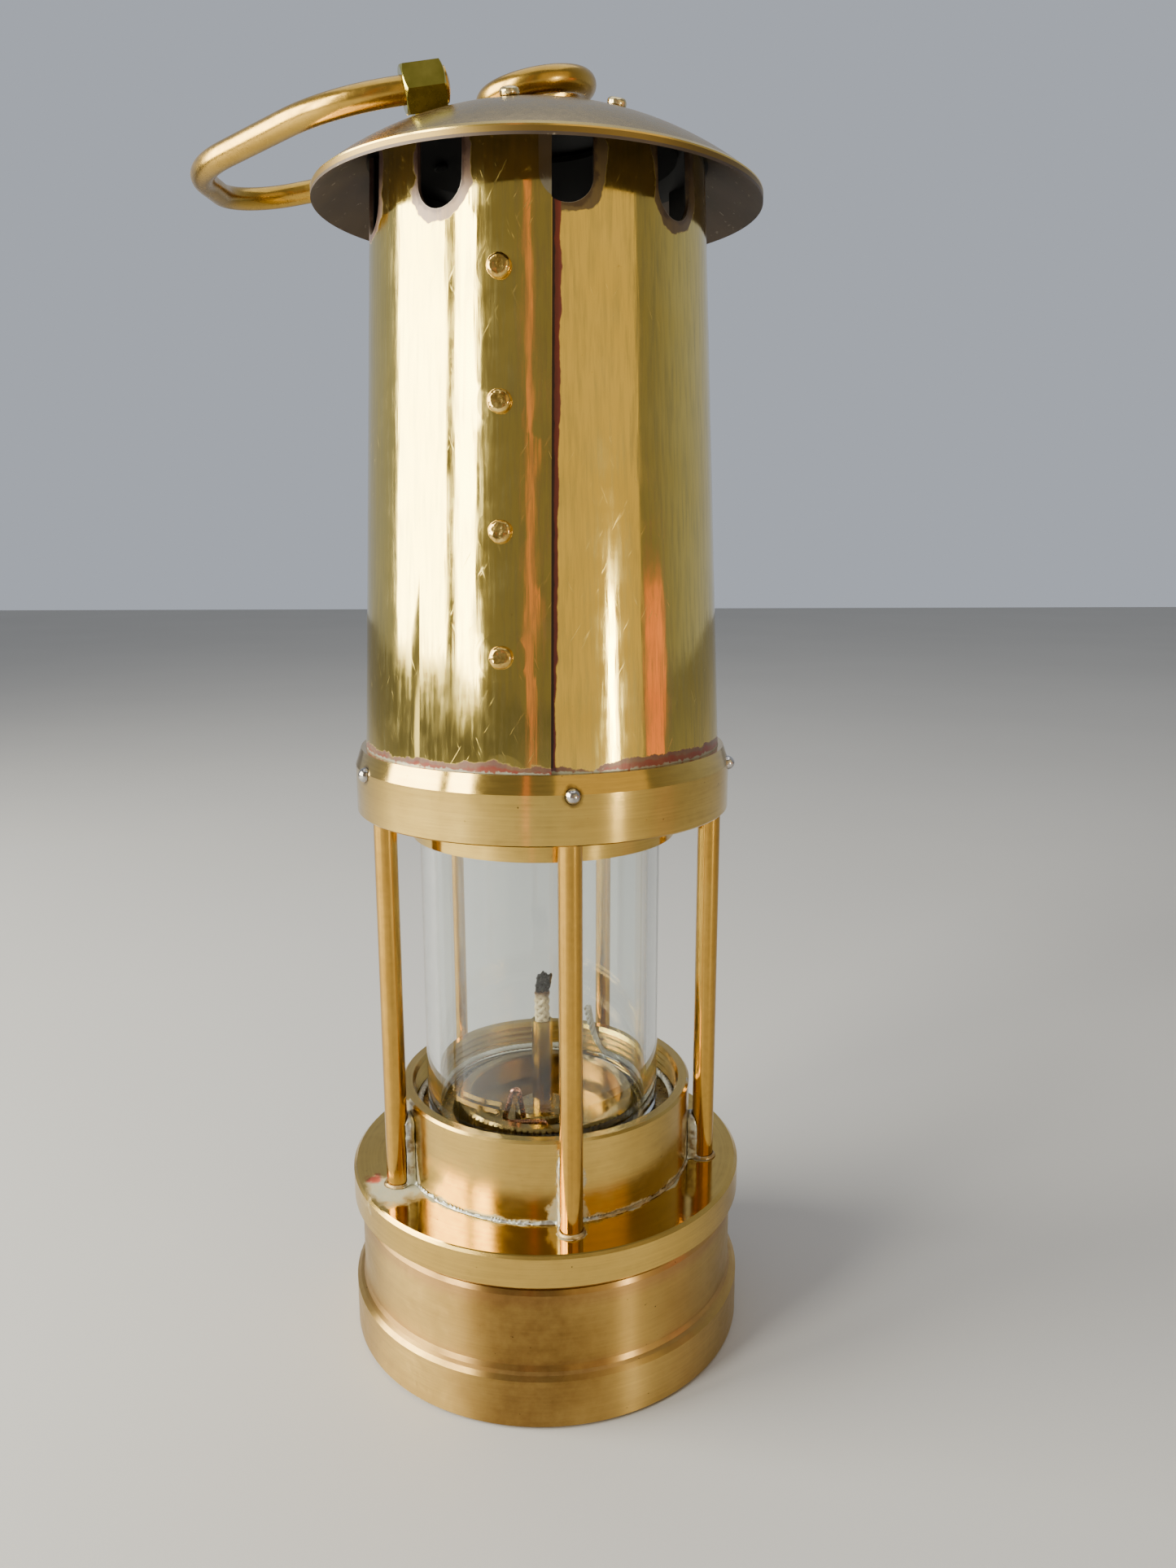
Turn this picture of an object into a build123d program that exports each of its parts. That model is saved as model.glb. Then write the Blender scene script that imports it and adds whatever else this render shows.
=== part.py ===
"""Brass flame safety lamp for mines: oil vessel, glass on five pillars, gauzes in a bonnet, hook handle.

The origin is the centre of the lamp's foot, +Z is up, and sizes are in millimetres. A bearing is the
angle in degrees around the lamp, from the front (-Y) towards +X.
"""
from build123d import *
import math
import os

# ---------------------------------------------------------------- clearances
SOLDER_GAP = 0.05        # between two pieces that are soldered or pressed together
FAR = 600.0              # longer than the lamp, for boxes that only cut
RUNNING_GAP = 0.07       # radial, between pieces that turn or slide in each other
THREAD_GAP = 0.08        # radial, between a plain male thread and the crests around it
EASY_GAP = 0.4           # radial, between pieces that pass each other freely

# ---------------------------------------------------------------- oil vessel
FOOT_R = 44.0
FOOT_HEIGHT = 11.5
DRUM_R = 42.1
DRUM_TOP = 30.0
VESSEL_WALL = 1.5
DECK_THICKNESS = 2.0
RECESS_HEIGHT = 9.8      # hollow under the foot that keeps the pricker's finger loop off the ground
PLATE_THICKNESS = 1.2
NECK_WALL = 2.9
NECK_HEIGHT = 13.0
NECK_DECK = 3.0
SEAL_INSET = 2.1         # from the drum's side
SEAL_THICKNESS = 1.0

# ---------------------------------------------------------------- burner
CUP_CLEARANCE = 2.4      # radial, inside the glass
CUP_WALL = 2.8
CUP_SHOULDER = 1.6       # the cup's wall stands out this far over its skirt
CUP_HEIGHT = 10.0
CUP_FLOOR_THICKNESS = 2.0
CUP_FLOOR_RISE = 3.4     # from the neck's deck to the floor's top
CUP_SKIRT_DEPTH = 6.5
CUP_TEETH = 96
TOOTH_DEPTH = 0.5
BURNER_OFFSET = -0.8     # the burner stands this far along X from the lamp's axis
PLUG_R = 6.4
PLUG_HEIGHT = 1.8        # low enough for the pricker to swing over it
PLUG_SKIRT_R = 4.5
PLUG_SKIRT_DEPTH = 5.0
WASHER_THICKNESS = 0.6
WICK_TUBE_R = 2.35
WICK_TUBE_WALL = 0.5
WICK_TUBE_STAND = 22.5   # above the plug's seat
WICK_STAND = 11.5        # above its tube
WICK_DEPTH = 12.0        # below the drum's top

# ---------------------------------------------------------------- pricker, the bent copper trimming wire
PRICKER_WIRE_R = 0.58
PRICKER_Y = -10.2
PRICKER_LEG_INSET = 7.8  # from the burner cup's opening radius to the length of the wire's level leg
PRICKER_APEX = 10.0
PRICKER_TUBE_WALL = 0.6
PRICKER_TUBE_STAND = 2.0  # above the cup's floor
PRICKER_BEND_R = 1.3
PRICKER_LOOP = 7.0       # finger loop under the foot
PRICKER_LIFT = 4.5
PRICKER_COLLAR_R = 2.4
PRICKER_COLLAR_HEIGHT = 1.6

# ---------------------------------------------------------------- lamp frame
PLATFORM_R = 43.75
PLATFORM_HEIGHT = 7.4
COLLAR_WALL = 3.0
COLLAR_ROOM = 1.2        # radial, between the packed glass and the collar
COLLAR_HEIGHT = 18.1
THREAD_PITCH = 1.5
THREAD_DEPTH = 0.7
PILLARS = 5
FIRST_PILLAR = 7.8       # bearing
PILLAR_R = 2.36
PILLAR_STAND_OFF = 0.94  # between a pillar and the collar
PILLAR_LENGTH = 81.1
SPIGOT_R = 1.6
SPIGOT_LENGTH = 3.6
SOLDER_FOOT = 0.9        # width of the fillet at the collar's and pillars' feet
SOLDER_RUN_R = 2.6       # solder that ran down beside a pillar
SOLDER_RUNS = [13.5, 8.0, 8.0, 8.0, 13.5]

# ---------------------------------------------------------------- glass and its seats
GLASS_R = 26.0
GLASS_WALL = 2.8
GLASS_OFFSET = -0.8      # the glass stands this far along X from the lamp's axis
GLASS_SINK = 5.6         # how deep the glass's foot stands in the collar
GASKET_THICKNESS = 1.0
GLASS_NUT_HEIGHT = 3.5
GLASS_NUT_CLEARANCE = 1.3  # radial, around the burner cup
GLASS_CAP_WALL = 0.9
GLASS_CAP_ROOM = 0.7     # radial, between the glass and its cap
GLASS_CAP_CROWN = 2.2
GLASS_CAP_DROP = 6.0     # below the gallery ring
CORD_R = 0.75
CORD_START = -285.0      # degrees from +X, counter-clockwise seen from above
CORD_TURN = 338.0
CORD_TAIL = 12.0         # height of the loose end
CORD_LEAN = 6.6          # how far the loose end leans on around the glass
CORD_TUCK = 0.9          # how far it leans in towards the glass
CORD_GAP = 0.1

# ---------------------------------------------------------------- gallery ring, bonnet and gauzes
GALLERY_WALL = 2.3       # outside the bonnet's foot
GALLERY_WALL_HEIGHT = 9.8
GALLERY_BEVEL = 1.2
GALLERY_BEVEL_HEIGHT = 3.5
GALLERY_WEB = 5.0
BONNET_R = 37.3          # outside, at the foot
BONNET_TOP_R = 33.0      # outside, at the vents
BONNET_HEIGHT = 98.3     # from the gallery ring's top to the vents
BONNET_SHEET = 0.95
LAP_SHIFT = 1.3          # the lapped sheet lies on a cone shifted by this
LAP_SHIFT_BEARING = 50.0
LAP_START_BEARING = -40.0
LAP_EDGE_BEARING = 2.2   # at the gallery ring
LAP_EDGE_LEAN = 0.55     # degrees that the lap's edge leans from upright
SEAM_RIVETS = 4
SEAM_RIVET_BEARING = -11.5
SEAM_RIVET_R = 2.15
SEAM_RIVET_HEAD = 1.5
TOP_RIVET_DROP = 10.4    # below the vents
LOW_RIVET_RISE = 21.3    # above the gallery ring
VENTS = 9
VENT_BEARING = 8.5
VENT_WIDTH = 9.6
PIN_BALL_R = 1.5
PIN_SHANK_R = 0.9
PIN_DROP = 0.3           # below the gallery ring's bevel
GAUZE_THICKNESS = 0.6
INNER_GAUZE_R = 22.4
OUTER_GAUZE_R = 26.0
GAUZE_TAPER = 3.6        # how much narrower each gauze is at its top
GAUZE_DROP = 6.3         # how much shorter than the bonnet the inner gauze is
GAUZE_STEP = 5.0         # the outer gauze is this much longer
GAUZE_RING_THICKNESS = 1.2
GAUZE_RING_BOSS = 2.2

# ---------------------------------------------------------------- hood
HOOD_R = 43.65
HOOD_SPHERE_R = 71.0
HOOD_SHEET = 1.3
HOOD_RIM_ABOVE_VENTS = 8.7
CARRIER_SHEET = 1.0
CARRIER_BORE_R = 14.0
CARRIER_R = 27.0
CARRIER_LEGS = 3
CARRIER_LEG_WIDTH = 8.0
CARRIER_LEG_DROP = 24.0
HOOD_RIVETS = 7
HOOD_RIVET_PITCH_R = 22.5
HOOD_RIVET_BEARING = -12.5
HOOD_RIVET_R = 1.8
HOOD_RIVET_HEAD = 1.5
RIVET_SHANK_R = 1.1
RIVET_TAIL = 0.7
RIVET_SLACK = 0.1        # so that a flat tail clears the curved sheet it closes on

# ---------------------------------------------------------------- handle
ROD_R = 2.35
SLEEVE_X = -20.2
SLEEVE_Y = -19.2
SLEEVE_UNDER = 1.45      # between the rod and the hood
SLEEVE_LENGTH = 7.4
SLEEVE_WALL = 1.55       # at the middle of a flat
SLEEVE_CHAMFER = 0.8
SLEEVE_TURN = 10.0       # degrees that the hinge axis turns from +X towards the back
SLEEVE_ROLL = 16.0       # degrees that the sleeve rolls forward to sit on the hood
HINGE_UNDER_CROWN = 1.05  # how much less the hinge axis rises, as far as the eye, than the hood's crown
HANDLE_LIE = 3.2         # degrees that the handle lies up from level about its hinge
# the handle's corners, as (along the hinge, away from the hinge) from the sleeve's centre
HANDLE_CORNERS = [(-8.2, 0.0), (-19.6, 4.0), (-43.7, 33.3), (-37.3, 68.8), (-16.5, 65.2)]
HANDLE_BEND_RADII = [28.0, 28.0, 25.0, 14.0, 15.0]
EYE_CENTRE = (23.5, 14.9)
EYE_R = 9.4              # to the rod's centre line
EYE_TURN = 293.0         # degrees of the eye
PEEN_LIP = 0.6           # how far the rod's flattened end stands out
PEEN_HEIGHT = 0.8

# ---------------------------------------------------------------- radii that follow
GLASS_BORE_R = GLASS_R - GLASS_WALL
CUP_R = GLASS_BORE_R - abs(GLASS_OFFSET) - CUP_CLEARANCE
CUP_OPENING_R = CUP_R - CUP_WALL
CUP_SKIRT_R = CUP_R - CUP_SHOULDER
COLLAR_BORE_R = GLASS_R + abs(GLASS_OFFSET) + 2 * CORD_R + COLLAR_ROOM
COLLAR_R = COLLAR_BORE_R + COLLAR_WALL
NECK_R = COLLAR_BORE_R - THREAD_GAP
PILLAR_PITCH_R = COLLAR_R + PILLAR_STAND_OFF + PILLAR_R
GLASS_NUT_BORE_R = CUP_R + GLASS_NUT_CLEARANCE
GLASS_CAP_R = GLASS_R + abs(GLASS_OFFSET) + GLASS_CAP_ROOM + GLASS_CAP_WALL
GALLERY_R = BONNET_R + GALLERY_WALL
DRUM_INNER_R = DRUM_R - VESSEL_WALL
SEAL_R = DRUM_R - SEAL_INSET
SLEEVE_FLATS = 2 * (ROD_R + SLEEVE_WALL)
SLEEVE_STAND_OFF = ROD_R + SLEEVE_UNDER
PEEN_R = ROD_R + PEEN_LIP
PRICKER_LEG = CUP_OPENING_R - PRICKER_LEG_INSET
PRICKER_TUBE_BORE_R = PRICKER_WIRE_R + RUNNING_GAP
PRICKER_TUBE_R = PRICKER_TUBE_BORE_R + PRICKER_TUBE_WALL

# ---------------------------------------------------------------- heights that follow
PLATE_BOTTOM = RECESS_HEIGHT
NECK_TOP = DRUM_TOP + NECK_HEIGHT
SEAL_TOP = DRUM_TOP + SEAL_THICKNESS
PLATFORM_TOP = SEAL_TOP + PLATFORM_HEIGHT
COLLAR_TOP = PLATFORM_TOP + COLLAR_HEIGHT
GALLERY_BOTTOM = PLATFORM_TOP + PILLAR_LENGTH
GALLERY_TOP = GALLERY_BOTTOM + GALLERY_WALL_HEIGHT + GALLERY_BEVEL_HEIGHT
GALLERY_FLOOR = GALLERY_BOTTOM + GALLERY_WEB
VENT_BOTTOM = GALLERY_TOP + BONNET_HEIGHT
HOOD_RIM = VENT_BOTTOM + HOOD_RIM_ABOVE_VENTS
HOOD_CENTRE = HOOD_RIM - math.sqrt(HOOD_SPHERE_R ** 2 - HOOD_R ** 2)
SLEEVE_REACH = math.hypot(SLEEVE_X, SLEEVE_Y)
CROWN_ABOVE_SLEEVE = HOOD_SPHERE_R - math.sqrt(HOOD_SPHERE_R ** 2 - SLEEVE_REACH ** 2)
HINGE_SINE = (CROWN_ABOVE_SLEEVE - HINGE_UNDER_CROWN) / EYE_CENTRE[0]
HANDLE_RISE = math.degrees(math.asin(HINGE_SINE))    # degrees that the hinge axis rises to the right
CUP_FLOOR = NECK_TOP + CUP_FLOOR_RISE
CUP_TOP = NECK_TOP + CUP_HEIGHT
PLUG_SEAT = CUP_FLOOR + WASHER_THICKNESS
WICK_TUBE_TOP = PLUG_SEAT + WICK_TUBE_STAND
WICK_TOP = WICK_TUBE_TOP + WICK_STAND
WICK_FOOT = DRUM_TOP - WICK_DEPTH
PRICKER_TUBE_TOP = CUP_FLOOR + PRICKER_TUBE_STAND
GLASS_TOP = GALLERY_FLOOR - GLASS_CAP_CROWN - GASKET_THICKNESS
GLASS_BOTTOM = COLLAR_TOP - GLASS_SINK
GLASS_NUT_TOP = GLASS_BOTTOM - GASKET_THICKNESS
PIN_HEIGHT = GALLERY_TOP - GALLERY_BEVEL_HEIGHT - PIN_DROP
GAUZE_LENGTH = BONNET_HEIGHT - GAUZE_DROP
SEAM_RIVET_SPACING = (BONNET_HEIGHT - TOP_RIVET_DROP - LOW_RIVET_RISE) / (SEAM_RIVETS - 1)
BONNET_SLOPE = (BONNET_R - BONNET_TOP_R) / BONNET_HEIGHT


# ---------------------------------------------------------------- helpers
def turned(points):
    """A solid of revolution about Z from the (radius, height) points of its section."""
    section = make_face(Polyline(*[(r, 0, z) for r, z in points], close=True))
    return revolve(section, Axis.Z)


def tube(outer, inner, bottom, top):
    """A plain ring or tube about Z."""
    return turned([(inner, bottom), (outer, bottom), (outer, top), (inner, top)])


def rod(radius, bottom, top, x=0.0, y=0.0):
    """An upright cylinder."""
    return Pos(x, y, bottom) * Cylinder(radius, top - bottom, align=(Align.CENTER, Align.CENTER, Align.MIN))


def at_bearing(radius, bearing, height=0.0):
    """The point at a radius and bearing around the lamp."""
    angle = math.radians(bearing)
    return Vector(radius * math.sin(angle), -radius * math.cos(angle), height)


def facing_out(radius, bearing, height, lean=0.0):
    """A plane at a bearing whose Z points outwards, leaning up by some degrees."""
    out = at_bearing(1.0, bearing)
    up = math.sin(math.radians(lean))
    flat = math.cos(math.radians(lean))
    return Plane(origin=at_bearing(radius, bearing, height), z_dir=(out.X * flat, out.Y * flat, up))


def around(count, first):
    """Evenly spaced bearings."""
    return [first + 360.0 * i / count for i in range(count)]


def one_solid(shape):
    """The largest solid of a shape, free of slivers that a cut may leave."""
    return max(shape.solids(), key=lambda solid: solid.volume)


def rivet(head_r, head_height, shank_length, tail_r):
    """A pan-head rivet along Z: the head's underside is at 0 and the shank goes down."""
    edge = 0.35 * head_height
    reach = shank_length + RIVET_SLACK
    section = [
        (0, -reach - RIVET_TAIL),
        (tail_r, -reach - RIVET_TAIL),
        (tail_r, -reach),
        (RIVET_SHANK_R, -reach),
        (RIVET_SHANK_R, 0),
        (head_r, 0),
        (head_r, head_height - edge),
        (head_r - edge, head_height),
        (0, head_height),
    ]
    return turned(section)


def hood_height(radius, sphere_r=HOOD_SPHERE_R):
    """Height of a sphere about the hood's centre, at a radius from the lamp's axis."""
    return HOOD_CENTRE + math.sqrt(sphere_r ** 2 - radius ** 2)


def hood_ball(sphere_r):
    """A ball about the hood's centre."""
    return Pos(0, 0, HOOD_CENTRE) * Sphere(sphere_r)


def under_hood():
    """Everything under the hood's sheet, and all that lies lower than its rim."""
    inside = hood_ball(HOOD_SPHERE_R - HOOD_SHEET - SOLDER_GAP)
    return inside + rod(1.2 * BONNET_R, GALLERY_BOTTOM, HOOD_RIM)


def bonnet_radius(height):
    """Outside radius of the bonnet's cone."""
    return BONNET_R - BONNET_SLOPE * max(0.0, height - GALLERY_TOP)


# ---------------------------------------------------------------- oil vessel pieces
def vessel_shell():
    step = 0.9
    rim = 1.4
    outline = [
        (DRUM_INNER_R, 0),
        (FOOT_R - 0.5, 0),
        (FOOT_R, 0.5),
        (FOOT_R, FOOT_HEIGHT - 0.8),
        (FOOT_R - 0.8, FOOT_HEIGHT),
        (DRUM_R + 0.4, FOOT_HEIGHT + 0.4),
        (DRUM_R, FOOT_HEIGHT + step + 0.6),
        (DRUM_R, DRUM_TOP - rim),
        (DRUM_R - 0.4, DRUM_TOP - 0.4),
        (DRUM_R - rim, DRUM_TOP),
        (NECK_R, DRUM_TOP),
        (NECK_R, NECK_TOP - 0.4),
        (NECK_R - 0.4, NECK_TOP),
        (CUP_SKIRT_R + SOLDER_GAP, NECK_TOP),
        (CUP_SKIRT_R + SOLDER_GAP, NECK_TOP - NECK_DECK),
        (NECK_R - NECK_WALL, NECK_TOP - NECK_DECK),
        (NECK_R - NECK_WALL, DRUM_TOP - DECK_THICKNESS),
        (DRUM_INNER_R, DRUM_TOP - DECK_THICKNESS),
    ]
    return turned(outline)


def vessel_bottom():
    plate_top = PLATE_BOTTOM + PLATE_THICKNESS
    disc = rod(DRUM_INNER_R - SOLDER_GAP, PLATE_BOTTOM, plate_top)
    return disc - rod(PRICKER_TUBE_R + SOLDER_GAP, PLATE_BOTTOM - 1, plate_top + 1, 0, PRICKER_Y)


def burner_cup():
    dish = 0.8
    cup = turned([
        (0, CUP_FLOOR - CUP_FLOOR_THICKNESS),
        (CUP_SKIRT_R - CUP_SHOULDER, CUP_FLOOR - CUP_FLOOR_THICKNESS),
        (CUP_SKIRT_R - CUP_SHOULDER, NECK_TOP - CUP_SKIRT_DEPTH),
        (CUP_SKIRT_R, NECK_TOP - CUP_SKIRT_DEPTH),
        (CUP_SKIRT_R, NECK_TOP),
        (CUP_R, NECK_TOP),
        (CUP_R, CUP_TOP - 0.6),
        (CUP_R - 0.6, CUP_TOP),
        (CUP_OPENING_R + 0.4, CUP_TOP),
        (CUP_OPENING_R, CUP_TOP - 0.4),
        (CUP_OPENING_R, CUP_FLOOR + dish),
        (CUP_OPENING_R - 3 * dish, CUP_FLOOR),
        (0, CUP_FLOOR),
    ])
    height = CUP_TOP - NECK_TOP + 1
    notch = Pos(CUP_R, 0, NECK_TOP + height / 2) * Rot(0, 0, 45) * Box(TOOTH_DEPTH, TOOTH_DEPTH, height)
    notches = [Rot(0, 0, angle) * notch for angle in around(CUP_TEETH, 0.0)]
    depth = CUP_FLOOR_THICKNESS + 2
    plug_hole = rod(PLUG_SKIRT_R + THREAD_GAP, CUP_FLOOR - depth, CUP_FLOOR + 1, BURNER_OFFSET)
    tube_hole = rod(PRICKER_TUBE_R + SOLDER_GAP, CUP_FLOOR - depth, CUP_FLOOR + 1, 0, PRICKER_Y)
    return cup - plug_hole - tube_hole - notches


def pricker_tube():
    outer = rod(PRICKER_TUBE_R, PLATE_BOTTOM, PRICKER_TUBE_TOP, 0, PRICKER_Y)
    return outer - rod(PRICKER_TUBE_BORE_R, PLATE_BOTTOM - 1, PRICKER_TUBE_TOP + 1, 0, PRICKER_Y)


def oil_wadding():
    bottom = PLATE_BOTTOM + PLATE_THICKNESS + EASY_GAP
    top = DRUM_TOP - DECK_THICKNESS - EASY_GAP
    wad = rod(DRUM_INNER_R - EASY_GAP, bottom, top)
    wick_hole = rod(WICK_TUBE_R + EASY_GAP, bottom - 1, top + 1, BURNER_OFFSET)
    tube_hole = rod(PRICKER_TUBE_R + EASY_GAP, bottom - 1, top + 1, 0, PRICKER_Y)
    return wad - wick_hole - tube_hole


def vessel_seal():
    return tube(SEAL_R, NECK_R + EASY_GAP, DRUM_TOP, SEAL_TOP)


# ---------------------------------------------------------------- burner pieces
def plug_washer():
    return Pos(BURNER_OFFSET, 0, 0) * tube(PLUG_R - 0.3, PLUG_SKIRT_R + EASY_GAP, CUP_FLOOR, PLUG_SEAT)


def burner_plug():
    top = PLUG_SEAT + PLUG_HEIGHT
    plug = turned([
        (WICK_TUBE_R + SOLDER_GAP, PLUG_SEAT - PLUG_SKIRT_DEPTH),
        (PLUG_SKIRT_R, PLUG_SEAT - PLUG_SKIRT_DEPTH),
        (PLUG_SKIRT_R, PLUG_SEAT),
        (PLUG_R, PLUG_SEAT),
        (PLUG_R, top - 0.5),
        (PLUG_R - 0.5, top),
        (WICK_TUBE_R + SOLDER_GAP, top),
    ])
    return Pos(BURNER_OFFSET, 0, 0) * plug


def wick_tube():
    inner = WICK_TUBE_R - WICK_TUBE_WALL
    return Pos(BURNER_OFFSET, 0, 0) * tube(WICK_TUBE_R, inner, PLUG_SEAT - PLUG_SKIRT_DEPTH, WICK_TUBE_TOP)


def wick():
    radius = WICK_TUBE_R - WICK_TUBE_WALL - RUNNING_GAP
    char = 1.6
    body = turned([
        (0, WICK_FOOT),
        (radius, WICK_FOOT),
        (radius, WICK_TOP - char),
        (0.6 * radius, WICK_TOP),
        (0, WICK_TOP),
    ])
    return Pos(BURNER_OFFSET, 0, 0) * body


def pricker():
    """One wire: finger loop under the foot, a straight run up the tube, and a triangle at the wick."""
    bend = PRICKER_BEND_R
    hook = PRICKER_TUBE_TOP + bend + 0.1
    low = PRICKER_WIRE_R + 0.6
    points = [
        (-PRICKER_LOOP, PRICKER_Y, low),
        (0, PRICKER_Y, low),
        (0, PRICKER_Y, hook),
        (-PRICKER_LEG, PRICKER_Y, hook),
        (-0.68 * PRICKER_LEG, PRICKER_Y, hook + PRICKER_APEX),
        (-0.52 * PRICKER_LEG, PRICKER_Y, hook + 2.2 * PRICKER_WIRE_R),
    ]
    route = FilletPolyline(*points, radius=(bend, bend, bend, 1.2 * PRICKER_WIRE_R))
    return sweep(Plane(origin=route @ 0, z_dir=route % 0) * Circle(PRICKER_WIRE_R), path=route)


def pricker_collar():
    top = PLATE_BOTTOM - PRICKER_LIFT - 0.2
    bottom = top - PRICKER_COLLAR_HEIGHT
    return Pos(0, PRICKER_Y, 0) * tube(PRICKER_COLLAR_R, PRICKER_TUBE_BORE_R, bottom, top)


# ---------------------------------------------------------------- lamp frame pieces
def platform_ring():
    ring = turned([
        (COLLAR_BORE_R, SEAL_TOP),
        (PLATFORM_R - 0.6, SEAL_TOP),
        (PLATFORM_R, SEAL_TOP + 0.6),
        (PLATFORM_R, PLATFORM_TOP - 0.7),
        (PLATFORM_R - 0.7, PLATFORM_TOP),
        (COLLAR_BORE_R, PLATFORM_TOP),
    ])
    return ring - pillar_holes(PLATFORM_TOP - SPIGOT_LENGTH - 0.2, PLATFORM_TOP + 1)


def pillar_holes(bottom, top):
    """The holes that the pillars' spigots are riveted into."""
    places = [at_bearing(PILLAR_PITCH_R, bearing) for bearing in around(PILLARS, FIRST_PILLAR)]
    return [rod(SPIGOT_R + SOLDER_GAP, bottom, top, place.X, place.Y) for place in places]


def collar():
    """The short tube around the glass's foot; its thread is drawn as rings, without the helix."""
    root = COLLAR_BORE_R + THREAD_DEPTH
    turns = int((COLLAR_HEIGHT - 3.0) / THREAD_PITCH)
    inside = [(COLLAR_BORE_R, PLATFORM_TOP)]
    for turn in range(turns):
        start = COLLAR_TOP - 1.0 - THREAD_PITCH * (turns - turn)
        inside.append((COLLAR_BORE_R, start))
        inside.append((root, start + 0.45 * THREAD_PITCH))
        inside.append((root, start + 0.55 * THREAD_PITCH))
    inside.append((COLLAR_BORE_R, COLLAR_TOP - 1.0))
    inside.append((COLLAR_BORE_R + 0.6, COLLAR_TOP))
    outside = [(COLLAR_R - 0.5, COLLAR_TOP), (COLLAR_R, COLLAR_TOP - 0.5), (COLLAR_R, PLATFORM_TOP)]
    return turned(inside + outside)


def solder_fillets():
    """Solder around the collar's foot and in the narrow gaps between the collar and the pillars."""
    foot = SOLDER_FOOT
    fillet = turned([
        (COLLAR_R + SOLDER_GAP, PLATFORM_TOP),
        (COLLAR_R + foot, PLATFORM_TOP),
        (COLLAR_R + 0.3 * foot, PLATFORM_TOP + 0.3 * foot),
        (COLLAR_R + SOLDER_GAP, PLATFORM_TOP + foot),
    ])
    solder = fillet
    for height, bearing in zip(SOLDER_RUNS, around(PILLARS, FIRST_PILLAR)):
        place = at_bearing(COLLAR_R + foot, bearing)
        column = rod(SOLDER_RUN_R, PLATFORM_TOP, PLATFORM_TOP + height, place.X, place.Y)
        column += Pos(place.X, place.Y, PLATFORM_TOP + height) * Sphere(SOLDER_RUN_R)
        pillar_at = at_bearing(PILLAR_PITCH_R, bearing)
        standing = (Align.CENTER, Align.CENTER, Align.MIN)
        foot_ring = Cone(PILLAR_R + 0.8 * foot, PILLAR_R + 0.2 * foot, foot, align=standing)
        solder += column + Pos(pillar_at.X, pillar_at.Y, PLATFORM_TOP) * foot_ring
        solder -= rod(PILLAR_R + SOLDER_GAP, PLATFORM_TOP - 1, GALLERY_BOTTOM, pillar_at.X, pillar_at.Y)
    solder -= rod(COLLAR_R + SOLDER_GAP, PLATFORM_TOP - 1, COLLAR_TOP + 5)
    solder &= rod(PLATFORM_R - 1.0, PLATFORM_TOP, COLLAR_TOP)
    return [piece for piece in solder.solids() if piece.volume > 0.5]


def pillar(bearing):
    place = at_bearing(PILLAR_PITCH_R, bearing)
    post = rod(PILLAR_R, PLATFORM_TOP, GALLERY_BOTTOM, place.X, place.Y)
    spigots = rod(SPIGOT_R, PLATFORM_TOP - SPIGOT_LENGTH, GALLERY_BOTTOM + SPIGOT_LENGTH, place.X, place.Y)
    return post + spigots


def gallery_ring():
    ring = turned([
        (GLASS_CAP_R + SOLDER_GAP, GALLERY_BOTTOM),
        (GALLERY_R - 0.3, GALLERY_BOTTOM),
        (GALLERY_R, GALLERY_BOTTOM + 0.3),
        (GALLERY_R, GALLERY_TOP - GALLERY_BEVEL_HEIGHT),
        (GALLERY_R - GALLERY_BEVEL, GALLERY_TOP),
        (BONNET_R + SOLDER_GAP, GALLERY_TOP),
        (BONNET_R + SOLDER_GAP, GALLERY_FLOOR),
        (GLASS_CAP_R + SOLDER_GAP, GALLERY_FLOOR),
    ])
    for bearing in around(PILLARS, FIRST_PILLAR):
        ring -= facing_out(BONNET_R - 2, bearing, PIN_HEIGHT) * extrude_round(PIN_SHANK_R + SOLDER_GAP, 6)
        ring -= facing_out(GALLERY_R - 0.2, bearing, PIN_HEIGHT) * Sphere(PIN_BALL_R + SOLDER_GAP)
    return ring - pillar_holes(GALLERY_BOTTOM - 1, GALLERY_BOTTOM + SPIGOT_LENGTH + 0.2)


def extrude_round(radius, length):
    """A cylinder that starts at 0 and runs along +Z."""
    return Cylinder(radius, length, align=(Align.CENTER, Align.CENTER, Align.MIN))


def bonnet_pins():
    pins = []
    for bearing in around(PILLARS, FIRST_PILLAR):
        shank = facing_out(BONNET_R - 1.5, bearing, PIN_HEIGHT) * extrude_round(PIN_SHANK_R, 3.5)
        ball = facing_out(GALLERY_R - 0.2, bearing, PIN_HEIGHT) * Sphere(PIN_BALL_R)
        pins.append(shank + ball)
    return pins


def glass_cap():
    """The thin ring that holds the glass's top, soldered through the gallery ring."""
    seat = GLASS_TOP + GASKET_THICKNESS
    overhang = 1.2
    return turned([
        (GLASS_CAP_R - GLASS_CAP_WALL, GALLERY_BOTTOM - GLASS_CAP_DROP),
        (GLASS_CAP_R, GALLERY_BOTTOM - GLASS_CAP_DROP),
        (GLASS_CAP_R, GALLERY_FLOOR),
        (GLASS_BORE_R - overhang, GALLERY_FLOOR),
        (GLASS_BORE_R - overhang, seat),
        (GLASS_CAP_R - GLASS_CAP_WALL, seat),
    ])


def glass():
    edge = 0.5
    pipe = turned([
        (GLASS_BORE_R, GLASS_BOTTOM),
        (GLASS_R - edge, GLASS_BOTTOM),
        (GLASS_R, GLASS_BOTTOM + edge),
        (GLASS_R, GLASS_TOP - edge),
        (GLASS_R - edge, GLASS_TOP),
        (GLASS_BORE_R, GLASS_TOP),
    ])
    return Pos(GLASS_OFFSET, 0, 0) * pipe


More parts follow.
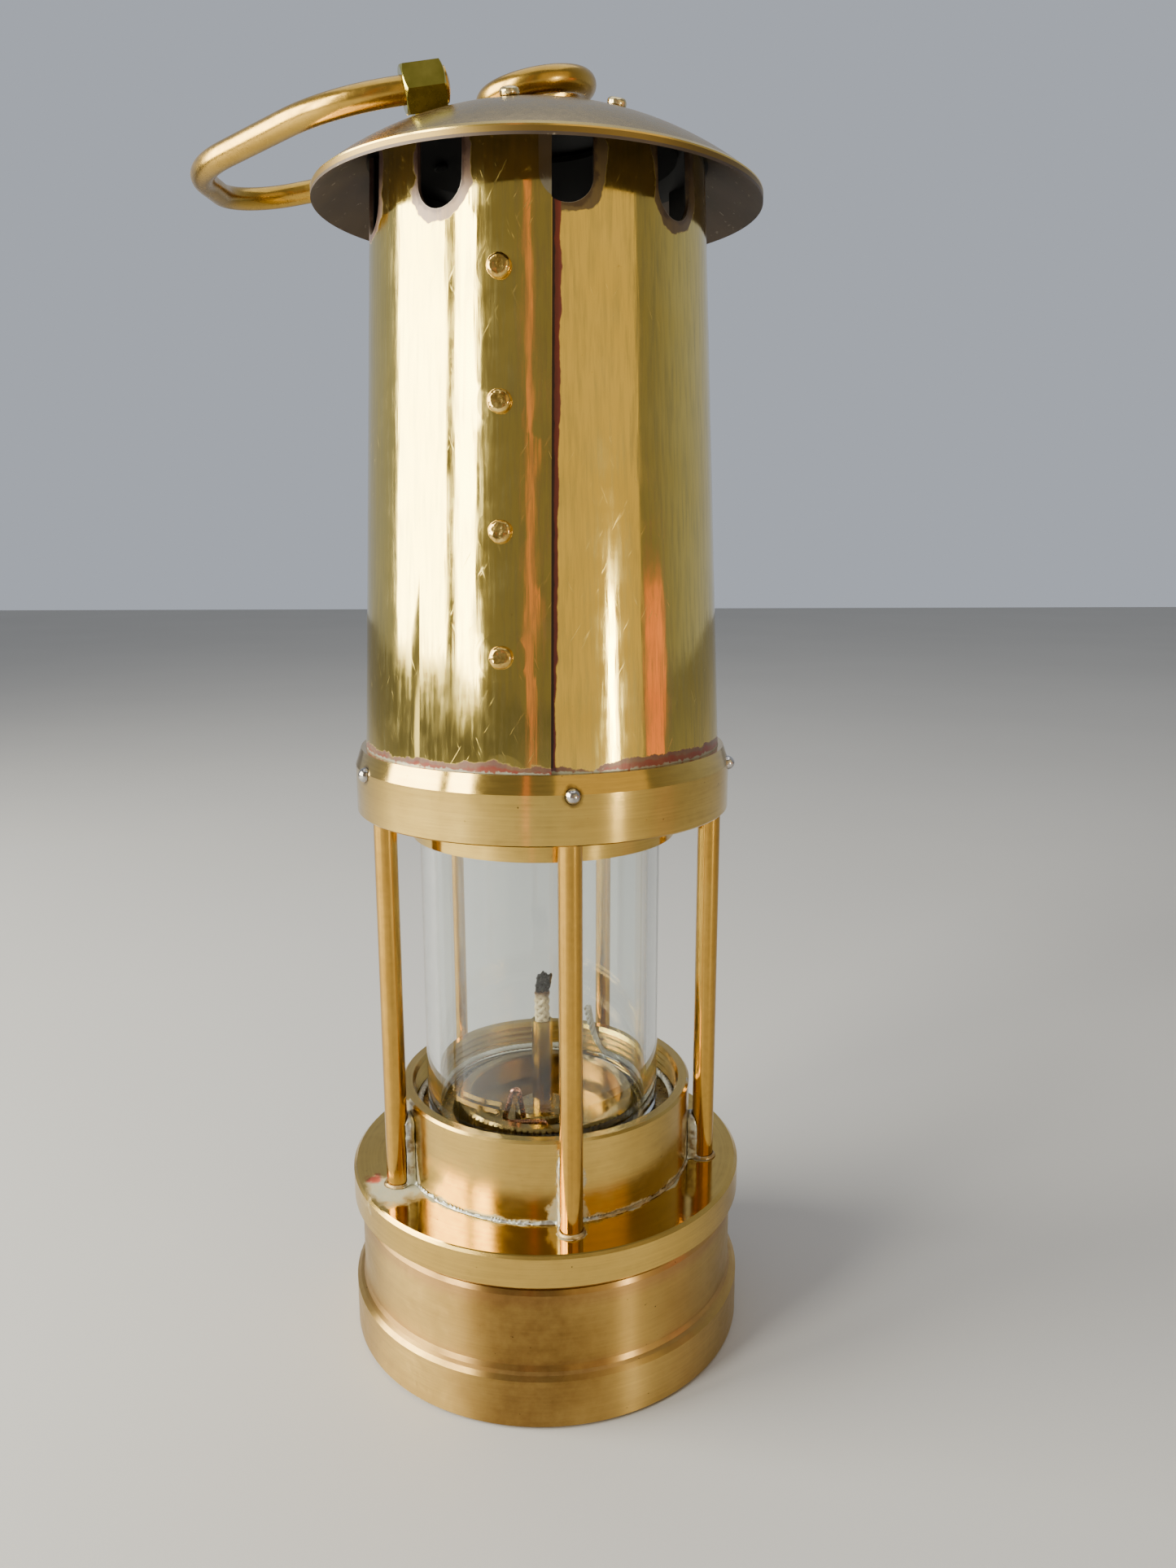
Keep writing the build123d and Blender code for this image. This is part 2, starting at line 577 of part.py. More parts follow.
def glass_gasket(bottom):
    inset = 0.2
    ring = tube(GLASS_R - inset, GLASS_BORE_R + inset, bottom, bottom + GASKET_THICKNESS)
    return Pos(GLASS_OFFSET, 0, 0) * ring


def glass_nut():
    """The threaded ring that clamps the glass from below, with two slots for a key."""
    bottom = GLASS_NUT_TOP - GLASS_NUT_HEIGHT
    nut = tube(COLLAR_BORE_R - SOLDER_GAP, GLASS_NUT_BORE_R, bottom, GLASS_NUT_TOP)
    width = 2 * COLLAR_BORE_R
    slot = Pos(0, 0, bottom) * Box(3.0, width, 2.4)
    return nut - (slot & tube(width, 0.5 * (COLLAR_BORE_R + GLASS_NUT_BORE_R), bottom - 2, bottom + 2))


def packing_cord():
    """String laid once around the glass's foot, with its loose end standing up at the back right."""
    radius = COLLAR_BORE_R - CORD_R - CORD_GAP
    height = GLASS_NUT_TOP + CORD_R + SOLDER_GAP
    turn = CenterArc((0, 0, height), radius, CORD_START, CORD_TURN)
    end = turn @ 1
    onward = Vector(-end.Y, end.X, 0).normalized()
    outward = Vector(end.X, end.Y, 0).normalized()
    top = end + onward * CORD_LEAN - outward * CORD_TUCK + Vector(0, 0, CORD_TAIL)
    tail = Spline(end, top, tangents=(turn % 1, Vector(0.1, 0.2, 1)))
    route = Wire([turn.edge(), tail.edge()])
    return sweep(Plane(origin=route @ 0, z_dir=route % 0) * Circle(CORD_R), path=route)


# ---------------------------------------------------------------- gauzes
def gauze(radius, length):
    """A tapered wire-gauze cap, drawn as a thin solid sheet."""
    bottom = GALLERY_FLOOR + GAUZE_RING_THICKNESS
    top = bottom + length
    small = radius - GAUZE_TAPER
    return turned([
        (radius - GAUZE_THICKNESS, bottom),
        (radius, bottom),
        (small, top),
        (0, top),
        (0, top - GAUZE_THICKNESS),
        (small - GAUZE_THICKNESS, top - GAUZE_THICKNESS),
    ])


def gauze_ring():
    """The ring under the bonnet's foot that both gauzes stand on."""
    step = GALLERY_FLOOR + GAUZE_RING_THICKNESS
    return turned([
        (INNER_GAUZE_R - GAUZE_THICKNESS - 1.6, GALLERY_FLOOR),
        (BONNET_R - BONNET_SHEET - SOLDER_GAP, GALLERY_FLOOR),
        (BONNET_R - BONNET_SHEET - SOLDER_GAP, step),
        (OUTER_GAUZE_R + 1.6, step),
        (OUTER_GAUZE_R + 1.6, step + GAUZE_RING_BOSS),
        (OUTER_GAUZE_R + SOLDER_GAP, step + GAUZE_RING_BOSS),
        (OUTER_GAUZE_R + SOLDER_GAP, step),
        (INNER_GAUZE_R - GAUZE_THICKNESS - 1.6, step),
    ])


# ---------------------------------------------------------------- bonnet
def bonnet_cone(inset, top):
    """The solid inside the bonnet's outer cone, less an inset."""
    return turned([
        (0, GALLERY_FLOOR),
        (BONNET_R - inset, GALLERY_FLOOR),
        (BONNET_R - inset, GALLERY_TOP),
        (bonnet_radius(top) - inset, top),
        (0, top),
    ])


def vent(bearing, top):
    """A slot with a round foot that is open at the bonnet's top edge."""
    centre = VENT_BOTTOM + VENT_WIDTH / 2
    reach = 12.0
    slot = Box(reach, VENT_WIDTH, top - centre, align=(Align.CENTER, Align.CENTER, Align.MIN))
    slot += Rot(0, 90, 0) * Cylinder(VENT_WIDTH / 2, reach)
    return Rot(0, 0, bearing - 90) * Pos(BONNET_TOP_R, 0, centre) * slot


def seam_lap(top):
    """The outer sheet where it laps over itself, thinning to nothing away from its edge."""
    shift = at_bearing(LAP_SHIFT, LAP_SHIFT_BEARING)
    lap = Pos(shift.X, shift.Y, 0) * bonnet_cone(0, top) - bonnet_cone(0.4 * BONNET_SHEET, top)
    span = 2 * BONNET_R
    left = Box(span, span, FAR, align=(Align.MAX, Align.MAX, Align.CENTER))
    edge = Pos(0, 0, GALLERY_TOP) * Rot(0, 0, LAP_EDGE_BEARING) * Rot(0, LAP_EDGE_LEAN, 0) * left
    start = Rot(0, 0, LAP_START_BEARING) * Box(span, span, FAR, align=(Align.MIN, Align.MAX, Align.CENTER))
    above_ring = rod(2 * BONNET_R, GALLERY_TOP + SOLDER_GAP, top)
    return lap & edge & start & above_ring


def bonnet():
    top = hood_height(BONNET_TOP_R - 2.0)
    shell = bonnet_cone(0, top) - bonnet_cone(BONNET_SHEET, top)
    vents = [vent(bearing, top + 1) for bearing in around(VENTS, VENT_BEARING)]
    lap = seam_lap(top) - vents[1:]
    shell = shell - vents + lap
    shell &= under_hood()
    for place in seam_rivet_planes():
        shell -= place * Pos(0, 0, -6) * extrude_round(RIVET_SHANK_R + SOLDER_GAP, 12)
    for bearing in around(PILLARS, FIRST_PILLAR):
        shell -= facing_out(BONNET_R - 3, bearing, PIN_HEIGHT) * extrude_round(PIN_SHANK_R + SOLDER_GAP, 6)
    return one_solid(shell)


def seam_rivet_planes():
    """The places of the seam's rivets, on the lapped sheet and square to it."""
    lift = LAP_SHIFT * math.cos(math.radians(SEAM_RIVET_BEARING - LAP_SHIFT_BEARING))
    lean = math.degrees(math.atan(BONNET_SLOPE))
    heights = [VENT_BOTTOM - TOP_RIVET_DROP - SEAM_RIVET_SPACING * i for i in range(SEAM_RIVETS)]
    return [facing_out(bonnet_radius(z) + lift, SEAM_RIVET_BEARING, z, lean) for z in heights]


def seam_rivets():
    shank = BONNET_SHEET + LAP_SHIFT
    one = rivet(SEAM_RIVET_R, SEAM_RIVET_HEAD, shank, 0.8 * SEAM_RIVET_R)
    return [place * one for place in seam_rivet_planes()]


# ---------------------------------------------------------------- hood
def hood():
    shell = hood_ball(HOOD_SPHERE_R) - hood_ball(HOOD_SPHERE_R - HOOD_SHEET)
    shell &= rod(HOOD_R, HOOD_CENTRE, HOOD_CENTRE + HOOD_SPHERE_R + 1)
    for place in hood_rivet_planes():
        shell -= place * Pos(0, 0, -4) * extrude_round(RIVET_SHANK_R + SOLDER_GAP, 8)
    return shell


def hood_rivet_planes():
    """The places of the hood's rivets, on its surface and square to it."""
    lean = math.degrees(math.acos(HOOD_RIVET_PITCH_R / HOOD_SPHERE_R))
    height = hood_height(HOOD_RIVET_PITCH_R)
    bearings = around(HOOD_RIVETS, HOOD_RIVET_BEARING)
    return [facing_out(HOOD_RIVET_PITCH_R, bearing, height, lean) for bearing in bearings]


def hood_rivets():
    one = rivet(HOOD_RIVET_R, HOOD_RIVET_HEAD, HOOD_SHEET + SOLDER_GAP + CARRIER_SHEET, 0.8 * HOOD_RIVET_R)
    return [place * one for place in hood_rivet_planes()]


def hood_carrier():
    """The ring riveted under the hood, with legs that are soldered inside the bonnet."""
    under = HOOD_SPHERE_R - HOOD_SHEET - SOLDER_GAP
    sheet = hood_ball(under) - hood_ball(under - CARRIER_SHEET)
    reach = BONNET_TOP_R - BONNET_SHEET - CARRIER_SHEET
    upper = sheet & tube(reach, CARRIER_BORE_R, HOOD_CENTRE, HOOD_RIM + 30)
    ring = upper & rod(CARRIER_R, HOOD_CENTRE, HOOD_RIM + 30)
    top = hood_height(BONNET_TOP_R - 2.0)
    inset = BONNET_SHEET + SOLDER_GAP
    skin = bonnet_cone(inset, top) - bonnet_cone(inset + CARRIER_SHEET, top)
    skin &= hood_ball(under)
    skin &= rod(BONNET_R, HOOD_RIM + 6 - CARRIER_LEG_DROP, HOOD_RIM + 30)
    legs_at = around(CARRIER_LEGS, VENT_BEARING + 180.0 / VENTS)
    for bearing in legs_at:
        strap = Box(BONNET_R, CARRIER_LEG_WIDTH, FAR, align=(Align.MIN, Align.CENTER, Align.CENTER))
        ring += (upper + skin) & (Rot(0, 0, bearing - 90) * strap)
    for place in hood_rivet_planes():
        ring -= place * Pos(0, 0, -6) * extrude_round(RIVET_SHANK_R + SOLDER_GAP, 12)
    return one_solid(ring)


# ---------------------------------------------------------------- handle
def hinge_plane():
    """The sleeve's centre, with X along the hinge and Y away from it in the handle's plane."""
    surface = hood_height(SLEEVE_REACH)
    height = surface + SLEEVE_STAND_OFF * HOOD_SPHERE_R / (surface - HOOD_CENTRE)
    hinge = Rot(0, 0, SLEEVE_TURN) * Rot(0, -HANDLE_RISE, 0) * Rot(HANDLE_LIE, 0, 0)
    return Pos(SLEEVE_X, SLEEVE_Y, height) * hinge


def handle_sleeve():
    """A hexagonal sleeve on a short foot that follows the hood."""
    hexagon = RegularPolygon(SLEEVE_FLATS / 2, 6, major_radius=False, rotation=30)
    lying = Rot(0, 90, 0) * Pos(0, 0, -SLEEVE_LENGTH / 2)
    sleeve = lying * extrude(hexagon, SLEEVE_LENGTH)
    corner = SLEEVE_FLATS / math.sqrt(3)
    half = SLEEVE_LENGTH / 2
    turned_ends = turned([
        (0, -half),
        (corner - SLEEVE_CHAMFER, -half),
        (corner, SLEEVE_CHAMFER * 0.6 - half),
        (corner, half - SLEEVE_CHAMFER * 0.6),
        (corner - SLEEVE_CHAMFER, half),
        (0, half),
    ])
    sleeve &= Rot(0, 90, 0) * turned_ends
    foot = Box(SLEEVE_LENGTH - 2.4, SLEEVE_FLATS - 3.4, 9.0, align=(Align.CENTER, Align.CENTER, Align.MAX))
    placed = hinge_plane() * Rot(SLEEVE_ROLL - HANDLE_LIE, 0, 0) * (sleeve + foot)
    placed -= hood_ball(HOOD_SPHERE_R + SOLDER_GAP)
    bore = Rot(0, 90, 0) * Cylinder(ROD_R + RUNNING_GAP, 3 * SLEEVE_LENGTH)
    return one_solid(placed - hinge_plane() * bore)


def handle_hook():
    """One bent rod: straight in the sleeve, a wide loop to the left and back, and an eye over the hood."""
    start = SLEEVE_LENGTH / 2 + SOLDER_GAP
    last = HANDLE_CORNERS[-1]
    across = (last[0] - EYE_CENTRE[0], last[1] - EYE_CENTRE[1])
    touch = math.atan2(across[1], across[0]) - math.acos(EYE_R / math.hypot(*across))
    meet = (EYE_CENTRE[0] + EYE_R * math.cos(touch), EYE_CENTRE[1] + EYE_R * math.sin(touch))
    lead = FilletPolyline((start, 0), *HANDLE_CORNERS, meet, radius=HANDLE_BEND_RADII)
    eye = CenterArc(EYE_CENTRE, EYE_R, math.degrees(touch), -EYE_TURN)
    route = Wire(lead.edges() + eye.edges())
    rod_shape = sweep(Plane(origin=route @ 0, z_dir=route % 0) * Circle(ROD_R), path=route)
    rod_shape += Pos(start, 0, 0) * Rot(0, 90, 0) * turned([
        (0, 0),
        (PEEN_R, 0),
        (PEEN_R, 0.5 * PEEN_HEIGHT),
        (0.6 * PEEN_R, PEEN_HEIGHT),
        (0, PEEN_HEIGHT),
    ])
    return hinge_plane() * rod_shape


# ---------------------------------------------------------------- write every piece
PIECES = {
    "vessel_shell": vessel_shell(),
    "vessel_bottom": vessel_bottom(),
    "burner_cup": burner_cup(),
    "pricker_tube": pricker_tube(),
    "oil_wadding": oil_wadding(),
    "vessel_seal": vessel_seal(),
    "plug_washer": plug_washer(),
    "burner_plug": burner_plug(),
    "wick_tube": wick_tube(),
    "wick": wick(),
    "pricker_collar": pricker_collar(),
    "pricker": pricker(),
    "platform_ring": platform_ring(),
    "collar": collar(),
    "solder_fillets": solder_fillets(),
    "gallery_ring": gallery_ring(),
    "bonnet_pins": bonnet_pins(),
    "glass_cap": glass_cap(),
    "glass": glass(),
    "glass_nut": glass_nut(),
    "lower_gasket": glass_gasket(GLASS_NUT_TOP),
    "upper_gasket": glass_gasket(GLASS_TOP),
    "packing_cord": packing_cord(),
    "inner_gauze": gauze(INNER_GAUZE_R, GAUZE_LENGTH),
    "outer_gauze": gauze(OUTER_GAUZE_R, GAUZE_LENGTH + GAUZE_STEP),
    "gauze_ring": gauze_ring(),
    "bonnet": bonnet(),
    "seam_rivets": seam_rivets(),
    "hood": hood(),
    "hood_carrier": hood_carrier(),
    "hood_rivets": hood_rivets(),
    "handle_sleeve": handle_sleeve(),
    "handle_hook": handle_hook(),
}
for pillar_number, pillar_bearing in enumerate(around(PILLARS, FIRST_PILLAR), start=1):
    PIECES[f"pillar_{pillar_number}"] = pillar(pillar_bearing)

os.makedirs("parts", exist_ok=True)
for node, shape in PIECES.items():
    solid = Compound(children=list(shape)) if isinstance(shape, list) else shape
    export_step(solid, f"parts/{node}.step")
print(len(PIECES), "pieces written")
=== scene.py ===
# %% [markdown]
# # A miner's flame safety lamp
# The CAD model gives every hard piece of this brass lamp its shape and its place. This notebook
# gives each piece its finish, and makes the soft and rough pieces that a CAD program draws too
# plainly: the wick, the packing string, the solder and the seals. Lengths in the text are in
# millimetres, and Blender works in metres.

# %% The CAD frame
import math
import random

import bpy
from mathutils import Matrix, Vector, noise


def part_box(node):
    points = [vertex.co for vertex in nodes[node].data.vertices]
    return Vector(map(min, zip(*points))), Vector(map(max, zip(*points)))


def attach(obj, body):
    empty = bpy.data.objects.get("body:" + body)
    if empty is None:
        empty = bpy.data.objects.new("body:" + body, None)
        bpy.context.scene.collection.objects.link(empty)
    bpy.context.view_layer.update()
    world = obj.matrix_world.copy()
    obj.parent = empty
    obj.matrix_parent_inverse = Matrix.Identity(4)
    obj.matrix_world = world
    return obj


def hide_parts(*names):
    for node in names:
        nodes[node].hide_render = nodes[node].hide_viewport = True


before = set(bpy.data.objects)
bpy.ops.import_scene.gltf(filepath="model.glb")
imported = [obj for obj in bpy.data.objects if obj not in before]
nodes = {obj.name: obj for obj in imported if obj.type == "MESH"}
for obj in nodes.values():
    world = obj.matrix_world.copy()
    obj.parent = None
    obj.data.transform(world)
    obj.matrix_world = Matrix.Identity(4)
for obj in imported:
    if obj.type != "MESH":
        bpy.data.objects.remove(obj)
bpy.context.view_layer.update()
MM = 0.001

# %% [markdown]
# ## Heights and bearings
# Stains and marks have to sit on the right edges, so their places come from the boxes of the CAD
# pieces. A bearing is the angle around the lamp from its front towards its right.

# %% Landmarks of the lamp
GALLERY_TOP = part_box("gallery_ring")[1].z
GALLERY_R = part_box("gallery_ring")[1].x
PLATFORM_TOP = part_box("collar")[0].z
PLATFORM_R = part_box("platform_ring")[1].x
COLLAR_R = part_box("collar")[1].x
HOOD_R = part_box("hood")[1].x
HOOD_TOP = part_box("hood")[1].z
HOOD_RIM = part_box("hood")[0].z
BONNET_R = 37.3 * MM
BONNET_TOP_R = 33.0 * MM
VENT_FOOT = GALLERY_TOP + 98.3 * MM
VENT_WIDTH = 9.6 * MM
VENT_BEARING, VENT_STEP = math.radians(8.5), math.radians(40)
LAP_EDGE_X, LAP_LEAN = 1.43 * MM, math.tan(math.radians(0.55))
SEAM_BEARING, SEAM_TOP, SEAM_STEP = math.radians(-11.5), VENT_FOOT - 10.4 * MM, 22.2 * MM
PILLAR_BEARING, PILLAR_STEP = math.radians(7.8), math.radians(72)
PILLAR_RING, PILLAR_R = 35.8 * MM, 2.36 * MM
PIN_HEIGHT = GALLERY_TOP - 3.8 * MM
HOOD_SPHERE = 71.0 * MM
HOOD_CENTRE = HOOD_TOP - HOOD_SPHERE
print("vents' feet at", round(VENT_FOOT / MM, 1), "mm, pins at", round(PIN_HEIGHT / MM, 1), "mm")

# %% [markdown]
# ## The camera
# The lamp is seen from close by, 245 mm in front of its axis and a little below the gauze's top,
# so its upright lines lean together towards the foot. A 26.5 mm lens on a 36 mm sensor gives that.

# %% Camera
camera = bpy.data.objects.new("camera", bpy.data.cameras.new("camera"))
bpy.context.scene.collection.objects.link(camera)
camera.data.lens = 26.5
camera.data.sensor_width = 36.0
camera.data.clip_start = 0.005
LOOK_DOWN, LOOK_RIGHT = 0.2044, 0.0395
camera.location = (0.0, -0.24498, 0.17404)
camera.rotation_euler = (math.pi / 2 - LOOK_DOWN, 0.0007, -LOOK_RIGHT)
bpy.context.scene.camera = camera
print("camera looks down", round(math.degrees(LOOK_DOWN), 1), "degrees")

# %% [markdown]
# ## Soft studio light
# Polished brass shows what is around it, so the lamp is lit the way a jug or a trumpet is: one tall
# soft window at the left, split by a thin bar, a wide dim warm wall at the right with a narrow
# strip in it, a low card that gives the brass its amber band, a thin card for the salmon streak
# beside the seam, and a wide ceiling. The lights are hidden from the camera.

# %% Lights, world and floor
def srgb(code):
    """'#RRGGBB' as the linear colour that a shader takes."""
    parts = [int(code[i:i + 2], 16) / 255 for i in (1, 3, 5)]
    linear = [p / 12.92 if p <= 0.04045 else ((p + 0.055) / 1.055) ** 2.4 for p in parts]
    return (*linear, 1.0)


def around_lamp(radius, bearing, height):
    """The point at a radius, a bearing in radians and a height."""
    return Vector((radius * math.sin(bearing), -radius * math.cos(bearing), height))


def soft_panel(name, bearing, distance, bottom, top, width, watts, colour):
    """A flat soft light that faces the lamp's axis."""
    light = bpy.data.lights.new(name, "AREA")
    light.shape = "RECTANGLE"
    light.size = width
    light.size_y = top - bottom
    light.energy = watts
    light.color = srgb(colour)[:3]
    panel = bpy.data.objects.new(name, light)
    panel.location = around_lamp(distance, math.radians(bearing), (bottom + top) / 2)
    panel.rotation_euler = (math.pi / 2, 0, math.radians(bearing))
    panel.visible_camera = False
    bpy.context.scene.collection.objects.link(panel)
    return panel


soft_panel("window_wide", -84, 0.8, 0.13, 0.80, 0.56, 24, "#FFFBEC")
soft_panel("window_narrow", -51, 0.8, 0.13, 0.80, 0.20, 10.0, "#FFFBEC")
soft_panel("strip_right", 43, 0.85, 0.01, 0.20, 0.07, 1.6, "#FFF6E0")
soft_panel("amber_card", 74, 0.7, 0.05, 0.19, 0.17, 0.11, "#E8660A")
soft_panel("wall_right", 36, 0.9, 0.0, 0.9, 1.0, 1.7, "#FFDC94")
soft_panel("salmon_card", -10, 0.5, -0.10, 0.50, 0.03, 0.05, "#E8794A")
ceiling = soft_panel("ceiling", 0, 0.0, -0.6, 0.6, 1.2, 6, "#F4F7FF")
ceiling.location = (0, 0, 1.3)
ceiling.rotation_euler = (0, 0, 0)

# %% [markdown]
# ## One helper for shader nodes
# Every finish below is a small network of shader nodes. This one function adds a node, sets its
# options, and fills its inputs with values or with other nodes' outputs.

# %% A node, its settings and its links
def add(tree, kind, inputs=None, out=0, **settings):
    """Adds a node and returns one of its outputs."""
    node = tree.nodes.new(kind)
    for option, value in settings.items():
        setattr(node, option, value)
    for socket, value in (inputs or {}).items():
        if isinstance(value, bpy.types.NodeSocket):
            tree.links.new(value, node.inputs[socket])
        else:
            node.inputs[socket].default_value = value
    return node.outputs[out]


def new_finish(name, metallic=1.0, roughness=0.3):
    """A material with its tree and its main shader."""
    material = bpy.data.materials.new(name)
    material.use_nodes = True
    shader = material.node_tree.nodes["Principled BSDF"]
    shader.inputs["Metallic"].default_value = metallic
    shader.inputs["Roughness"].default_value = roughness
    return material, material.node_tree, shader


def join(tree, shader, **sockets):
    """Links outputs to the shader's sockets, named with _ for a space."""
    for name, output in sockets.items():
        tree.links.new(output, shader.inputs[name.replace("_", " ")])


print("helpers ready")

# %% [markdown]
# ## Where a mark is
# The lamp is round, so marks are placed by height, by distance from the axis and by bearing.
# `wrapped` brings a bearing to the nearest of several pieces that stand evenly around the lamp,
# and `within` turns a distance into a mark with a ragged edge. `stain` lays a tint in such a mark,
# and `fade` changes a roughness or a metal value there.

# %% Places, marks and stains
def lamp_places(tree):
    """The point, its x, its way to the front, its height, its distance out, bearing and direction."""
    point = add(tree, "ShaderNodeTexCoord", out="Object")
    flat = add(tree, "ShaderNodeVectorMath", {0: point, 1: (1, 1, 0)}, operation="MULTIPLY")
    x = add(tree, "ShaderNodeSeparateXYZ", {0: point}, out="X")
    y = add(tree, "ShaderNodeSeparateXYZ", {0: point}, out="Y")
    front = add(tree, "ShaderNodeMath", {0: y, 1: -1.0}, operation="MULTIPLY")
    return {
        "point": point,
        "x": x,
        "front": front,
        "z": add(tree, "ShaderNodeSeparateXYZ", {0: point}, out="Z"),
        "out": add(tree, "ShaderNodeVectorMath", {0: flat}, out="Value", operation="LENGTH"),
        "bearing": add(tree, "ShaderNodeMath", {0: x, 1: front}, operation="ARCTAN2"),
        "direction": add(tree, "ShaderNodeVectorMath", {0: flat}, operation="NORMALIZE"),
    }


def tarnish(tree, places, patch, grain, seed=0.0):
    """Two cloudy values from 0 to 1: patches, and the finer grain inside them."""
    shift = (seed, 0.7 * seed, -seed)
    moved = add(tree, "ShaderNodeVectorMath", {0: places["point"], 1: shift}, operation="ADD")
    wide = {"Vector": moved, "Scale": 1 / patch, "Detail": 3.0, "Roughness": 0.55}
    fine = {"Vector": moved, "Scale": 1 / grain, "Detail": 5.0, "Roughness": 0.6}
    return add(tree, "ShaderNodeTexNoise", wide), add(tree, "ShaderNodeTexNoise", fine)


def wrapped(tree, value, first, step):
    """How far a bearing or a height is from the nearest of a row of even places."""
    moved = add(tree, "ShaderNodeMath", {0: value, 1: first}, operation="SUBTRACT")
    return add(tree, "ShaderNodeMath", {0: moved, 1: step / 2, 2: -step / 2}, operation="WRAP")


def apart(tree, across, up):
    """The distance of a point from the origin of two lengths on the surface."""
    both = add(tree, "ShaderNodeCombineXYZ", {0: across, 1: up})
    return add(tree, "ShaderNodeVectorMath", {0: both}, out="Value", operation="LENGTH")


def distance_from(tree, places, centre):
    """How far a point is from one place on or in the lamp."""
    inputs = {0: places["point"], 1: centre}
    return add(tree, "ShaderNodeVectorMath", inputs, out="Value", operation="DISTANCE")


def within(tree, distance, reach, ragged=None, wander=0.0, soft=0.3 * MM):
    """1 where a distance is under a reach, with an edge that wanders as a cloudy value does."""
    if ragged is not None:
        spread = {"Value": ragged, "From Min": 0.25, "From Max": 0.75, "To Min": -wander, "To Max": wander}
        shift = add(tree, "ShaderNodeMapRange", spread, clamp=False)
        distance = add(tree, "ShaderNodeMath", {0: distance, 1: shift}, operation="SUBTRACT")
    edge = {"From Min": reach - soft, "From Max": reach + soft}
    fall = {"Value": distance, **edge, "To Min": 1.0, "To Max": 0.0}
    return add(tree, "ShaderNodeMapRange", fall)


def along_wall(tree, places, first, step, radius):
    """How far around a wall a point is from the nearest of the marks that stand evenly on it."""
    turn = wrapped(tree, places["bearing"], first, step)
    return add(tree, "ShaderNodeMath", {0: turn, 1: radius}, operation="MULTIPLY")


def off_middle(tree, value, middle):
    """How far a value is from a middle, on either side of it."""
    past = add(tree, "ShaderNodeMath", {0: value, 1: middle}, operation="SUBTRACT")
    return add(tree, "ShaderNodeMath", {0: past}, operation="ABSOLUTE")


def fade(tree, mark, outside, inside):
    """A number that goes from its value outside a mark to its value inside."""
    return add(tree, "ShaderNodeMapRange", {"Value": mark, "To Min": outside, "To Max": inside})


def graded(tree, cloud, low, high):
    """A number from low to high that follows the middle of a cloudy value."""
    spread = {"Value": cloud, "From Min": 0.3, "From Max": 0.7, "To Min": low, "To Max": high}
    return add(tree, "ShaderNodeMapRange", spread)


def stain(tree, colour, tint, mark, cloud=None, thin=0.0, thick=1.0):
    """A tint laid over a colour inside a mark, from thin to thick as a cloudy value rises."""
    if cloud is not None:
        body = fade(tree, cloud, thin, thick)
        mark = add(tree, "ShaderNodeMath", {0: mark, 1: body}, operation="MULTIPLY")
    return add(tree, "ShaderNodeMix", {0: mark, 6: colour, 7: tint}, out=2, data_type="RGBA")


def relief(tree, *layers):
    """Bumps laid one on another, each a height from 0 to 1 and its depth in metres."""
    normal = None
    for height, depth in layers:
        sockets = {"Height": height, "Distance": depth}
        if normal is not None:
            sockets["Normal"] = normal
        normal = add(tree, "ShaderNodeBump", sockets)
    return normal


print("places, marks and stains ready")

# %% [markdown]
# ## Marks that tools leave
# A lathe leaves fine rings, a drawing die leaves long lines, and a cloth leaves stray scratches.
# Real lathe marks are 0.05 mm apart. The widest are drawn 0.6 mm apart here, or none would show.

# %% Lathe rings, draw lines and scratches
def lathe_rings(tree, places, spacing=0.6 * MM, turns=2.0):
    """Fine rings around the lamp's axis, each fading in and out around the turn."""
    along = add(tree, "ShaderNodeMath", {0: places["z"], 1: places["out"]}, operation="ADD")
    rings = add(tree, "ShaderNodeMath", {0: along, 1: 1 / spacing}, operation="MULTIPLY")
    lift = add(tree, "ShaderNodeCombineXYZ", {2: rings})
    place = {0: places["direction"], 1: (turns, turns, turns), 2: lift}
    wound = add(tree, "ShaderNodeVectorMath", place, operation="MULTIPLY_ADD")
    cloud = add(tree, "ShaderNodeTexNoise", {"Vector": wound, "Scale": 1.0, "Detail": 4.0, "Roughness": 0.75})
    return add(tree, "ShaderNodeMapRange", {"Value": cloud, "From Min": 0.35, "From Max": 0.65})


def draw_lines(tree, places, spacing, stretch):
    """Long lines up and down a drawn rod or a rolled sheet."""
    size = (1 / spacing, 1 / spacing, 1 / (spacing * stretch))
    place = add(tree, "ShaderNodeVectorMath", {0: places["point"], 1: size}, operation="MULTIPLY")
    return add(tree, "ShaderNodeTexNoise", {"Vector": place, "Scale": 1.0, "Detail": 3.0, "Roughness": 0.6})


def scratches(tree, places, lean, gap=0.8 * MM, stretch=14.0, seed=0.0):
    """Sparse thin scratches across a round wall, leaning by some degrees from upright."""
    across = add(tree, "ShaderNodeMath", {0: places["bearing"], 1: BONNET_R}, operation="MULTIPLY")
    sheet = add(tree, "ShaderNodeCombineXYZ", {0: across, 1: places["z"], 2: seed})
    turn = {"Vector": sheet, "Angle": math.radians(lean)}
    leaned = add(tree, "ShaderNodeVectorRotate", turn, rotation_type="Z_AXIS")
    size = (1 / gap, 1 / (gap * stretch), 1.0)
    place = add(tree, "ShaderNodeVectorMath", {0: leaned, 1: size}, operation="MULTIPLY")
    cloud = add(tree, "ShaderNodeTexNoise", {"Vector": place, "Scale": 1.0, "Detail": 3.0, "Roughness": 0.7})
    return add(tree, "ShaderNodeMapRange", {"Value": cloud, "From Min": 0.64, "From Max": 0.70})


